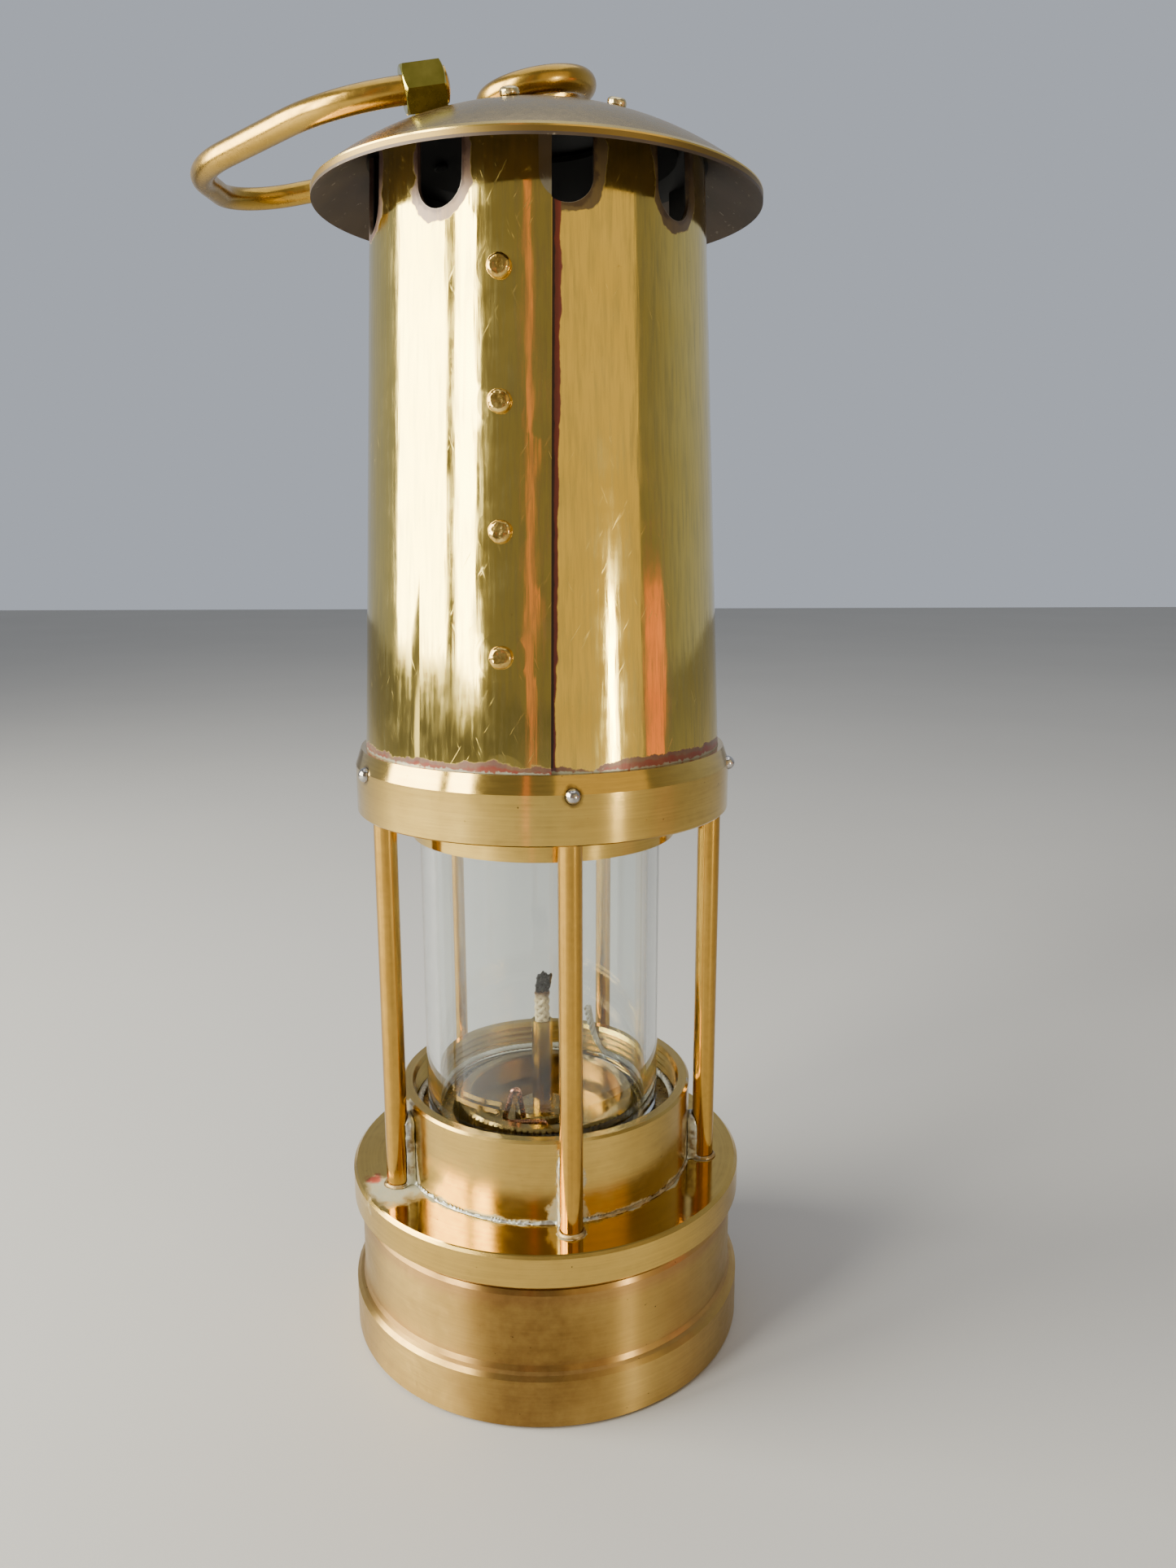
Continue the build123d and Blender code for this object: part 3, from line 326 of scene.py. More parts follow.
def soot(tree, colour, inside, rough, metal):
    """Black lamp smoke on what is inside the bonnet and the hood: colour, roughness and metal."""
    dark = stain(tree, colour, srgb("#0E0C0A"), inside)
    dull = add(tree, "ShaderNodeMix", {0: inside, 2: rough, 3: 0.75}, out=0)
    bare = add(tree, "ShaderNodeMix", {0: inside, 2: metal, 3: 0.1}, out=0)
    return dark, dull, bare


print("tool marks and soot ready")

# %% [markdown]
# ## Rolled brass sheet, polished: the bonnet
# The bonnet is common brass sheet, rolled, lapped, riveted and then polished by hand. Polish makes
# it a mirror, but hand work leaves it slightly wavy, so reflections break into upright streaks.
# The torch that soldered it left mauve and brown oxide around the vents, along the lap and at the
# foot, and there the metal is duller. Each stain is a distance from an edge, with a ragged limit.

# %% Bonnet finish
BRASS_BRIGHT, BRASS_DEEP, BRASS_OLIVE = srgb("#EBD27A"), srgb("#DABB56"), srgb("#B5A668")
OXIDE_MAUVE, OXIDE_BROWN, OXIDE_RED = srgb("#4A303E"), srgb("#2E1B18"), srgb("#7E3222")
FLUX_GREY = srgb("#98A592")


def vent_distance(tree, places):
    """How far a point of the bonnet's wall is from the nearest vent's edge."""
    across = along_wall(tree, places, VENT_BEARING, VENT_STEP, BONNET_TOP_R)
    foot = VENT_FOOT + VENT_WIDTH / 2
    up = add(tree, "ShaderNodeMath", {0: places["z"], 1: foot}, operation="SUBTRACT")
    below = add(tree, "ShaderNodeMath", {0: up, 1: 0.0}, operation="MINIMUM")
    centre = apart(tree, across, below)
    return add(tree, "ShaderNodeMath", {0: centre, 1: VENT_WIDTH / 2}, operation="SUBTRACT")


def rivet_distance(tree, places):
    """How far a point of the bonnet's wall is from the nearest rivet of the seam."""
    turn = add(tree, "ShaderNodeMath", {0: places["bearing"], 1: SEAM_BEARING}, operation="SUBTRACT")
    across = add(tree, "ShaderNodeMath", {0: turn, 1: BONNET_R}, operation="MULTIPLY")
    up = wrapped(tree, places["z"], SEAM_TOP, SEAM_STEP)
    return apart(tree, across, up)


def beside_lap(tree, places, rise):
    """How far a point is to the right of the lap's edge, and a mark that is 1 on that side in front."""
    edge = add(tree, "ShaderNodeMath", {0: rise, 1: LAP_LEAN, 2: LAP_EDGE_X}, operation="MULTIPLY_ADD")
    right = add(tree, "ShaderNodeMath", {0: places["x"], 1: edge}, operation="SUBTRACT")
    beyond = add(tree, "ShaderNodeMath", {0: right, 1: -0.05 * MM}, operation="GREATER_THAN")
    facing = add(tree, "ShaderNodeMath", {0: places["front"], 1: 0.0}, operation="GREATER_THAN")
    return right, add(tree, "ShaderNodeMath", {0: beyond, 1: facing}, operation="MULTIPLY")


def inside_bonnet(tree, places):
    """1 on the bonnet's inner face and on the cut edges' inner half."""
    rise = add(tree, "ShaderNodeMath", {0: places["z"], 1: GALLERY_TOP}, operation="SUBTRACT")
    slope = (BONNET_TOP_R - BONNET_R) / (VENT_FOOT - GALLERY_TOP)
    wall = {0: rise, 1: slope, 2: BONNET_R - 0.75 * MM}
    middle = add(tree, "ShaderNodeMath", wall, operation="MULTIPLY_ADD")
    return add(tree, "ShaderNodeMath", {0: places["out"], 1: middle}, operation="LESS_THAN")


def bonnet_finish():
    material, tree, shader = new_finish("polished_rolled_brass_sheet", 1.0, 0.1)
    places = lamp_places(tree)
    cloud, fine = tarnish(tree, places, 24 * MM, 2.6 * MM)
    hand, speck = tarnish(tree, places, 7 * MM, 0.9 * MM, seed=0.4)
    waves = draw_lines(tree, places, 7 * MM, 7.0)
    rolled = draw_lines(tree, places, 1.5 * MM, 26.0)
    lines = draw_lines(tree, places, 0.8 * MM, 16.0)
    rise = add(tree, "ShaderNodeMath", {0: places["z"], 1: GALLERY_TOP}, operation="SUBTRACT")
    colour = stain(tree, BRASS_BRIGHT, BRASS_DEEP, cloud)
    brushed = add(tree, "ShaderNodeMapRange", {"Value": lines, "From Min": 0.42, "From Max": 0.66})
    colour = stain(tree, colour, BRASS_OLIVE, brushed, hand, 0.1, 1.0)
    # painted shade and reflection: the brass just under the hood's rim is darkened to olive brown #8A7C50,
    # for the hood's shade and its dark underside mirrored in the polish
    drop = add(tree, "ShaderNodeMath", {0: HOOD_RIM, 1: places["z"]}, operation="SUBTRACT")
    shade = within(tree, drop, 1.5 * MM, fine, 1.5 * MM, 4 * MM)
    colour = stain(tree, colour, srgb("#8A7C50"), shade, hand, 0.2, 0.8)
    # oxide around the vents: mauve next to the brass, brown at the cut edge
    vents = vent_distance(tree, places)
    right, seam_side = beside_lap(tree, places, rise)
    lap = off_middle(tree, right, -4.0 * MM)
    off_lap = add(tree, "ShaderNodeMath", {0: lap, 1: 3.95 * MM}, operation="GREATER_THAN")
    rim = within(tree, vents, 1.9 * MM, hand, 1.5 * MM, 0.14 * MM)
    rim = add(tree, "ShaderNodeMath", {0: rim, 1: off_lap}, operation="MULTIPLY")
    dark = within(tree, vents, 0.6 * MM, fine, 0.9 * MM, 0.25 * MM)
    dark = add(tree, "ShaderNodeMath", {0: dark, 1: off_lap}, operation="MULTIPLY")
    # the rims of the vents left of x = -8 mm are given a lighter mauve, the other vents' rims a darker
    # brown-purple
    pale = add(tree, "ShaderNodeMath", {0: places["x"], 1: -8 * MM}, operation="LESS_THAN")
    mauve = stain(tree, srgb("#331D1F"), OXIDE_MAUVE, pale)
    colour = stain(tree, colour, mauve, rim, cloud, 1.0, 0.75)
    colour = stain(tree, colour, OXIDE_BROWN, dark, fine, 0.2, 0.9)
    cut = within(tree, vents, 0.0, None, 0, 0.06 * MM)
    colour = stain(tree, colour, srgb("#CFC8BA"), cut, hand, 0.5, 1.0)
    # the lap's edge: a dark line with a red-brown stain on its right
    widening = {"Value": rise, "From Min": 0.0, "From Max": 98 * MM, "To Min": 0.2 * MM, "To Max": -0.7 * MM}
    reach = add(tree, "ShaderNodeMapRange", widening)
    grown = add(tree, "ShaderNodeMath", {0: right, 1: reach}, operation="ADD")
    band = within(tree, grown, 0.95 * MM, hand, 0.5 * MM, 0.1 * MM)
    line = within(tree, right, 0.45 * MM, fine, 0.15 * MM, 0.1 * MM)
    band = add(tree, "ShaderNodeMath", {0: band, 1: seam_side}, operation="MULTIPLY")
    line = add(tree, "ShaderNodeMath", {0: line, 1: seam_side}, operation="MULTIPLY")
    colour = stain(tree, colour, stain(tree, OXIDE_RED, srgb("#4E2A2A"), hand), band)
    colour = stain(tree, colour, OXIDE_BROWN, line)
    # the foot: a red and purple fringe with flux in the corner
    swell = {"Value": cloud, "From Min": 0.35, "From Max": 0.65, "To Min": -1.0 * MM, "To Max": 1.5 * MM}
    swelling = add(tree, "ShaderNodeMapRange", swell)
    swollen = add(tree, "ShaderNodeMath", {0: rise, 1: swelling}, operation="SUBTRACT")
    fringe = within(tree, swollen, 1.0 * MM, fine, 0.6 * MM, 0.12 * MM)
    red = within(tree, swollen, 0.1 * MM, fine, 0.6 * MM, 0.2 * MM)
    flux = within(tree, rise, 0.35 * MM, speck, 0.5 * MM, 0.1 * MM)
    colour = stain(tree, colour, srgb("#55323A"), fringe, fine, 0.8, 1.0)
    colour = stain(tree, colour, OXIDE_RED, red, fine, 0.2, 1.0)
    colour = stain(tree, colour, FLUX_GREY, flux, fine, 0.3, 1.0)
    spots = within(tree, speck, 0.27, None, 0, 0.01)
    colour = stain(tree, colour, srgb("#7C5428"), spots, fine, 0.2, 0.9)
    oxide = add(tree, "ShaderNodeMath", {0: rim, 1: fringe}, operation="MAXIMUM")
    oxide = add(tree, "ShaderNodeMath", {0: oxide, 1: band}, operation="MAXIMUM")
    cuts = add(tree, "ShaderNodeMath", {
        0: scratches(tree, places, 32),
        1: scratches(tree, places, -24, seed=5.0),
    }, operation="MAXIMUM")
    rubbed = add(tree, "ShaderNodeMapRange", {"Value": cloud, "From Min": 0.46, "From Max": 0.56})
    cuts = add(tree, "ShaderNodeMath", {0: cuts, 1: rubbed}, operation="MULTIPLY")
    sheen = graded(tree, hand, 0.04, 0.13)
    rough = add(tree, "ShaderNodeMath", {0: brushed, 1: 0.07, 2: sheen}, operation="MULTIPLY_ADD")
    rough = add(tree, "ShaderNodeMix", {0: oxide, 2: rough, 3: 0.3}, out=0)
    rough = add(tree, "ShaderNodeMix", {0: cuts, 2: rough, 3: 0.3}, out=0)
    metal = fade(tree, oxide, 1.0, 0.35)
    inner = inside_bonnet(tree, places)
    smoky = add(tree, "ShaderNodeMath", {0: inner, 1: cut}, operation="SUBTRACT", use_clamp=True)
    colour, rough, metal = soot(tree, colour, smoky, rough, metal)
    # the rolled sheet's waves, dimples round the rivets, then polishing lines and scratches
    dimple = within(tree, rivet_distance(tree, places), 3.2 * MM, None, 0, 1.4 * MM)
    sheet = (waves, 0.09 * MM), (rolled, 0.014 * MM), (dimple, -0.05 * MM)
    normal = relief(tree, *sheet, (lines, 0.0012 * MM), (cuts, -0.0012 * MM))
    join(tree, shader, Base_Color=colour, Roughness=rough, Metallic=metal, Normal=normal)
    return material


bonnet_brass = bonnet_finish()
print("bonnet:", len(bonnet_brass.node_tree.nodes), "nodes")

# %% [markdown]
# ## Turned brass: vessel, platform, collar and gallery ring
# These pieces come off a lathe and keep its rings. Light on them is smeared across the rings, which
# is what the anisotropy does: the tangent runs around the axis and is turned a quarter, so
# highlights stand upright. The vessel and collar are satin, the gallery ring is brighter.

# %% Turned finishes
def turned_finish(name, light, deep, low, high, smear=0.6):
    """Turned brass that is light in its clear patches and deep where it is handled."""
    material, tree, shader = new_finish(name, 1.0, (low + high) / 2)
    places = lamp_places(tree)
    rings = lathe_rings(tree, places)
    cloud, fine = tarnish(tree, places, 18 * MM, 2.2 * MM, seed=0.3)
    colour = stain(tree, srgb(light), srgb(deep), cloud)
    colour = stain(tree, colour, srgb("#8A7040"), rings, fine, 0.0, 0.55)
    shader.inputs["Anisotropic"].default_value = smear
    shader.inputs["Anisotropic Rotation"].default_value = 0.25
    join(tree, shader, Tangent=add(tree, "ShaderNodeTangent", direction_type="RADIAL", axis="Z"))
    rough = graded(tree, fine, low, high)
    speckle = {"Vector": places["point"], "Scale": 1 / (1.1 * MM), "Detail": 1.0}
    grit = add(tree, "ShaderNodeTexNoise", speckle)
    pits = within(tree, grit, 0.2, None, 0, 0.015)
    colour = stain(tree, colour, srgb("#2E2416"), pits)
    join(tree, shader, Roughness=rough, Normal=relief(tree, (rings, 0.002 * MM), (pits, -0.02 * MM)))
    return material, tree, shader, places, colour, rough, fine, cloud


def vessel_finish():
    """Satin brass, rosy under its top edge and on the step, with three dark brown patches whose front one is
    a painted reflection.
    """
    made = turned_finish("satin_turned_brass", "#CFAE64", "#A88442", 0.28, 0.36, 0.9)
    material, tree, shader, places, colour, _, fine, cloud = made
    for height, reach in ((28.2 * MM, 1.8 * MM), (12.4 * MM, 0.8 * MM)):
        away = off_middle(tree, places["z"], height)
        handled = within(tree, away, reach, fine, 0.5 * MM, 1.2 * MM)
        colour = stain(tree, colour, srgb("#A87850"), handled, cloud, 0.2, 0.6)
    # painted reflection: three dark brown #6E4C24 patches 120 degrees apart; the front one darkens the
    # vessel's middle, where the dim room is mirrored
    turn = wrapped(tree, places["bearing"], math.radians(-4), math.radians(120))
    aside = add(tree, "ShaderNodeMath", {0: turn}, operation="ABSOLUTE")
    painted_reflection_patches = within(tree, aside, math.radians(17), cloud, math.radians(5), math.radians(9))
    colour = stain(tree, colour, srgb("#6E4C24"), painted_reflection_patches, fine, 0.4, 0.85)
    join(tree, shader, Base_Color=colour)
    return material


def pillar_distance(tree, places):
    """How far a point of the platform is from the nearest pillar's axis."""
    across = along_wall(tree, places, PILLAR_BEARING, PILLAR_STEP, PILLAR_RING)
    outward = add(tree, "ShaderNodeMath", {0: places["out"], 1: PILLAR_RING}, operation="SUBTRACT")
    return apart(tree, across, outward)


def platform_finish():
    """The platform's top is a mirror, its side is satin, and flux lies around the soldered joints."""
    made = turned_finish("polished_turned_brass_platform", "#DDBC68", "#C09A48", 0.07, 0.13, 0.3)
    material, tree, shader, places, colour, rough, fine, _ = made
    foot = add(tree, "ShaderNodeMath", {0: places["out"], 1: COLLAR_R}, operation="SUBTRACT")
    posts = add(tree, "ShaderNodeMath", {0: pillar_distance(tree, places), 1: PILLAR_R}, operation="SUBTRACT")
    nearest = add(tree, "ShaderNodeMath", {0: foot, 1: posts, 2: 3 * MM}, operation="SMOOTH_MIN")
    ragged, _ = tarnish(tree, places, 5 * MM, 0.8 * MM, seed=1.7)
    film = within(tree, nearest, 0.5 * MM, ragged, 1.3 * MM, 0.25 * MM)
    patch_at = around_lamp(36.5 * MM, math.radians(-62), PLATFORM_TOP)
    patch = within(tree, distance_from(tree, places, patch_at), 6.0 * MM, ragged, 3.0 * MM, 1.6 * MM)
    film = add(tree, "ShaderNodeMath", {0: film, 1: patch}, operation="MAXIMUM")
    crust = stain(tree, srgb("#B9BDB4"), srgb("#8E9C88"), ragged)
    colour = stain(tree, colour, crust, film, fine, 0.5, 1.0)
    red_at = around_lamp(40.0 * MM, math.radians(-70), PLATFORM_TOP)
    red = within(tree, distance_from(tree, places, red_at), 1.5 * MM, fine, 1.2 * MM, 0.5 * MM)
    colour = stain(tree, colour, srgb("#B4533A"), red)
    side = add(tree, "ShaderNodeMath", {0: places["out"], 1: PLATFORM_R - 0.5 * MM}, operation="GREATER_THAN")
    satin = add(tree, "ShaderNodeMath", {0: side, 1: 0.3}, operation="MULTIPLY")
    dull = add(tree, "ShaderNodeMath", {0: film, 1: satin}, operation="MAXIMUM")
    rough = add(tree, "ShaderNodeMix", {0: dull, 2: rough, 3: 0.6}, out=0)
    metal = fade(tree, film, 1.0, 0.2)
    join(tree, shader, Base_Color=colour, Roughness=rough, Metallic=metal)
    return material


def collar_finish():
    """Satin collar with flux that ran down beside the pillars."""
    made = turned_finish("satin_turned_brass_collar", "#D9B96A", "#B89548", 0.18, 0.26, 0.5)
    material, tree, shader, places, colour, _, _, _ = made
    across = along_wall(tree, places, PILLAR_BEARING, PILLAR_STEP, COLLAR_R)
    away = add(tree, "ShaderNodeMath", {0: across}, operation="ABSOLUTE")
    rise = add(tree, "ShaderNodeMath", {0: places["z"], 1: PLATFORM_TOP}, operation="SUBTRACT")
    spread = add(tree, "ShaderNodeMath", {0: rise, 1: 0.2, 2: away}, operation="MULTIPLY_ADD")
    ragged, speck = tarnish(tree, places, 4 * MM, 0.8 * MM, seed=3.1)
    film = within(tree, spread, 4.6 * MM, ragged, 1.6 * MM, 0.4 * MM)
    low = within(tree, rise, 0.7 * MM, ragged, 0.9 * MM, 0.3 * MM)
    wall = {0: places["out"], 1: COLLAR_R - 0.6 * MM}
    outside = add(tree, "ShaderNodeMath", wall, operation="GREATER_THAN")
    film = add(tree, "ShaderNodeMath", {0: film, 1: low}, operation="MAXIMUM")
    film = add(tree, "ShaderNodeMath", {0: film, 1: outside}, operation="MULTIPLY")
    colour = stain(tree, colour, srgb("#B0B4A6"), film, speck, 0.2, 1.0)
    metal = fade(tree, film, 1.0, 0.3)
    join(tree, shader, Base_Color=colour, Metallic=metal)
    return material


def gallery_finish():
    """Bright turned brass, with a dark ring around each steel pin."""
    made = turned_finish("bright_turned_brass", "#E4C46E", "#C49F4C", 0.1, 0.18, 0.5)
    material, tree, shader, places, colour, _, fine, _ = made
    across = along_wall(tree, places, PILLAR_BEARING, PILLAR_STEP, GALLERY_R)
    up = add(tree, "ShaderNodeMath", {0: places["z"], 1: PIN_HEIGHT}, operation="SUBTRACT")
    ring = within(tree, apart(tree, across, up), 1.9 * MM, fine, 0.4 * MM, 0.35 * MM)
    join(tree, shader, Base_Color=stain(tree, colour, srgb("#4A3524"), ring, fine, 0.5, 0.9))
    return material


def cup_finish():
    """Dull turned brass, smoked a little."""
    made = turned_finish("dull_turned_brass", "#BFA569", "#8A7040", 0.16, 0.26, 0.4)
    material, tree, shader, _, colour, _, fine, cloud = made
    join(tree, shader, Base_Color=stain(tree, colour, srgb("#5C4A2C"), fine, cloud, 0.0, 0.6))
    return material


vessel_brass = vessel_finish()
platform_brass = platform_finish()
collar_brass = collar_finish()
gallery_brass = gallery_finish()
cup_brass = cup_finish()
for finish in (vessel_brass, platform_brass, collar_brass, gallery_brass, cup_brass):
    print(finish.name, len(finish.node_tree.nodes), "nodes")

# %% [markdown]
# ## Drawn brass rod: pillars and handle
# Rod is pulled through a die, which leaves long lines. The pillars are polished and golden. The
# handle was bent hot and is a little browner, with duller patches where it is held.

# %% Rod finishes
def rod_finish(name, light, deep, low, high, size, depth):
    """Drawn rod whose lines are long where the size is long, along x, y and z, and of some depth."""
    material, tree, shader = new_finish(name, 1.0, (low + high) / 2)
    places = lamp_places(tree)
    scale = tuple(1 / length for length in size)
    place = add(tree, "ShaderNodeVectorMath", {0: places["point"], 1: scale}, operation="MULTIPLY")
    lines = add(tree, "ShaderNodeTexNoise", {"Vector": place, "Scale": 1.0, "Detail": 3.0})
    cloud, fine = tarnish(tree, places, 12 * MM, 1.4 * MM, seed=1.0)
    colour = stain(tree, srgb(light), srgb(deep), cloud)
    colour = stain(tree, colour, srgb("#86662C"), lines, fine, 0.0, 1.0)
    rough = graded(tree, fine, low, high)
    normal = relief(tree, (lines, depth), (fine, 0.2 * depth))
    join(tree, shader, Base_Color=colour, Roughness=rough, Normal=normal)
    return material


upright, lying = (0.4 * MM, 0.4 * MM, 30 * MM), (12 * MM, 12 * MM, 0.9 * MM)
pillar_brass = rod_finish("polished_drawn_brass_rod", "#DDB258", "#BC8C38", 0.12, 0.24, upright, 0.006 * MM)
handle_brass = rod_finish("bent_brass_handle_rod", "#D6B055", "#AA8436", 0.2, 0.3, lying, 0.0012 * MM)
print("rod finishes:", pillar_brass.name, handle_brass.name)

# %% [markdown]
# ## Spun brass dome: the hood
# The hood sits in the smoke, so its underside is dark grey-brown with specks, and its top is a
# grey-brown satin. The lip's thin bright gold band is a painted highlight along its edge.

# %% Hood finish
def under_dome(tree, places, depth):
    """1 on what lies deeper than some depth under the hood's outer sphere."""
    far = distance_from(tree, places, (0, 0, HOOD_CENTRE))
    return add(tree, "ShaderNodeMath", {0: far, 1: HOOD_SPHERE - depth}, operation="LESS_THAN")


def hood_finish():
    material, tree, shader = new_finish("smoked_spun_brass", 1.0, 0.3)
    places = lamp_places(tree)
    under = under_dome(tree, places, 0.9 * MM)
    cloud, fine = tarnish(tree, places, 14 * MM, 1.6 * MM, seed=0.6)
    rings = lathe_rings(tree, places, 0.5 * MM, 5.0)
    top = stain(tree, srgb("#8F7B52"), srgb("#A68E5C"), cloud)
    smoke = stain(tree, srgb("#2E2721"), srgb("#5E5044"), cloud)
    specks = within(tree, fine, 0.33, None, 0, 0.03)
    smoke = stain(tree, smoke, srgb("#A89C8A"), specks, cloud, 0.2, 1.0)
    inner = add(tree, "ShaderNodeMath", {0: places["out"], 1: BONNET_TOP_R}, operation="LESS_THAN")
    smoke = stain(tree, smoke, srgb("#0E0C0A"), inner)
    rim = add(tree, "ShaderNodeMath", {0: places["out"], 1: HOOD_R - 0.9 * MM}, operation="GREATER_THAN")
    deeper = under_dome(tree, places, 0.22 * MM)
    shallow = add(tree, "ShaderNodeMath", {0: 1.0, 1: deeper}, operation="SUBTRACT")
    lip_highlight = add(tree, "ShaderNodeMath", {0: rim, 1: shallow}, operation="MULTIPLY")
    top = stain(tree, top, srgb("#7E683A"), rim)
    # painted highlight: the lip's thin top band is painted bright gold #E6C468 for the highlight along its
    # edge
    colour = stain(tree, stain(tree, top, srgb("#E6C468"), lip_highlight), smoke, under)
    rough = graded(tree, fine, 0.22, 0.32)
    rough = add(tree, "ShaderNodeMix", {0: rim, 2: rough, 3: 0.42}, out=0)
    rough = add(tree, "ShaderNodeMix", {0: lip_highlight, 2: rough, 3: 0.2}, out=0)
    rough = add(tree, "ShaderNodeMix", {0: under, 2: rough, 3: 0.5}, out=0)
    metal = fade(tree, under, 1.0, 0.6)
    normal = relief(tree, (fine, 0.004 * MM), (rings, 0.003 * MM))
    join(tree, shader, Base_Color=colour, Roughness=rough, Metallic=metal, Normal=normal)
    return material


hood_brass = hood_finish()
print("hood:", len(hood_brass.node_tree.nodes), "nodes")

# %% [markdown]
# ## Small metal: rivets, sleeve, pins, pricker, inner brass and gauze
# Each is the same idea with its own metal. Rivet heads are bright and hammered, the sleeve is
# greenish polished hexagon bar, the pins are hard steel balls, the pricker is soft copper wire,
# and everything near the flame is dull brass. The gauze is steel wire, 1.1 wires to the millimetre
# in the real one, drawn as a woven bump because it stands in the dark of the bonnet.

# %% Small metal finishes
def plain_metal(name, light, deep, low, high, size, sooty=False):
    """Metal with cloudy tarnish from light to deep, black with soot if it is under the hood."""
    material, tree, shader = new_finish(name, 1.0, (low + high) / 2)
    places = lamp_places(tree)
    cloud, fine = tarnish(tree, places, size, size / 6)
    sharp = graded(tree, cloud, 0.0, 1.0)
    colour = stain(tree, srgb(light), srgb(deep), sharp)
    rough = graded(tree, fine, low, high)
    if sooty:
        colour, rough, metal = soot(tree, colour, under_dome(tree, places, 0.3 * MM), rough, 1.0)
        join(tree, shader, Metallic=metal)
    join(tree, shader, Base_Color=colour, Roughness=rough, Normal=relief(tree, (fine, 0.0012 * MM)))
    return material


def gauze_finish():
    """Sooted steel gauze: two sets of waves, around and up, make the woven wires."""
    material, tree, shader = new_finish("sooted_steel_gauze", 0.8, 0.6)
    places = lamp_places(tree)
    around = add(tree, "ShaderNodeMath", {0: places["bearing"], 1: 110.0}, operation="MULTIPLY")
    upward = add(tree, "ShaderNodeMath", {0: places["z"], 1: 2 * math.pi / (0.9 * MM)}, operation="MULTIPLY")
    one = add(tree, "ShaderNodeMath", {0: around}, operation="SINE")
    two = add(tree, "ShaderNodeMath", {0: upward}, operation="SINE")
    weave = add(tree, "ShaderNodeMath", {0: one, 1: two}, operation="MULTIPLY")
    colour = stain(tree, srgb("#0F0D0B"), srgb("#463E37"), weave)
    join(tree, shader, Base_Color=colour, Normal=relief(tree, (weave, 0.15 * MM)))
    return material


rivet_brass = plain_metal("hammered_brass_rivet", "#E4C474", "#A8843E", 0.1, 0.22, 1.6 * MM)
hood_rivet_brass = plain_metal("pale_brass_rivet", "#E2D2A2", "#B09866", 0.12, 0.26, 2.5 * MM, sooty=True)
sleeve_brass = plain_metal("green_brass_hexagon", "#D6CC66", "#AEA646", 0.06, 0.14, 5 * MM)
pin_steel = plain_metal("hard_steel_ball", "#D2CFCB", "#8C8682", 0.08, 0.2, 1.5 * MM)
wire_copper = plain_metal("soft_copper_wire", "#E0A488", "#94604A", 0.15, 0.35, 2.5 * MM)
inner_brass = plain_metal("dull_machined_brass", "#BFA468", "#7C6638", 0.2, 0.4, 7 * MM)
tube_brass = plain_metal("smoked_brass_tube", "#C8AC54", "#9C8038", 0.2, 0.28, 12 * MM)
carrier_brass = plain_metal("sooted_brass_carrier", "#5E5240", "#3A3024", 0.4, 0.6, 5 * MM, sooty=True)
steel_gauze = gauze_finish()
print("small metals:", 9)

# %% [markdown]
# ## Glass
# The flame's window is a thick clear tube. It is real glass in the shader: full transmission and an
# IOR of 1.52, with a little uneven haze from handling. Its walls bend what stands behind it.

# %% Glass finish
def glass_finish():
    material, tree, shader = new_finish("clear_tube_glass", 0.0, 0.02)
    shader.inputs["Transmission Weight"].default_value = 1.0
    shader.inputs["IOR"].default_value = 1.52
    shader.inputs["Base Color"].default_value = srgb("#F6FAF9")
    places = lamp_places(tree)
    haze, _ = tarnish(tree, places, 9 * MM, 1.5 * MM, seed=0.2)
    join(tree, shader, Roughness=fade(tree, haze, 0.0, 0.04))
    return material


clear_glass = glass_finish()
print("glass IOR", clear_glass.node_tree.nodes["Principled BSDF"].inputs["IOR"].default_value)

# %% [markdown]
# ## Solder, cotton and leather
# Solder is soft tin alloy, silver where it is scratched and grey-white where flux dried on it.
# Cotton scatters light, so it gets a sheen and a fine fibre bump. The seals are oiled leather.

# %% Soft finishes
def solder_finish():
    material, tree, shader = new_finish("dull_tin_solder", 1.0, 0.35)
    places = lamp_places(tree)
    cloud, fine = tarnish(tree, places, 1.6 * MM, 0.5 * MM, seed=0.7)
    crust = within(tree, cloud, 0.5, None, 0, 0.06)
    colour = stain(tree, srgb("#C4C2BC"), srgb("#7E7C72"), fine)
    colour = stain(tree, colour, srgb("#B9C0AE"), crust, fine, 0.2, 0.9)
    # it was wiped to a thin brassy film in front of the pillars and along the collar's clean run
    aside = off_middle(tree, places["bearing"], math.radians(44))
    clean = within(tree, aside, math.radians(26), cloud, math.radians(4), math.radians(4))
    fronts = {0: places["out"], 1: COLLAR_R + 3.2 * MM}
    outward = add(tree, "ShaderNodeMath", fronts, operation="GREATER_THAN")
    wiped = add(tree, "ShaderNodeMath", {0: clean, 1: outward}, operation="MAXIMUM")
    colour = stain(tree, colour, srgb("#94763A"), wiped, fine, 0.7, 1.0)
    rough = fade(tree, fine, 0.2, 0.45)
    metal = fade(tree, crust, 1.0, 0.35)
    normal = relief(tree, (fine, 0.05 * MM))
    join(tree, shader, Base_Color=colour, Roughness=rough, Metallic=metal, Normal=normal)
    return material


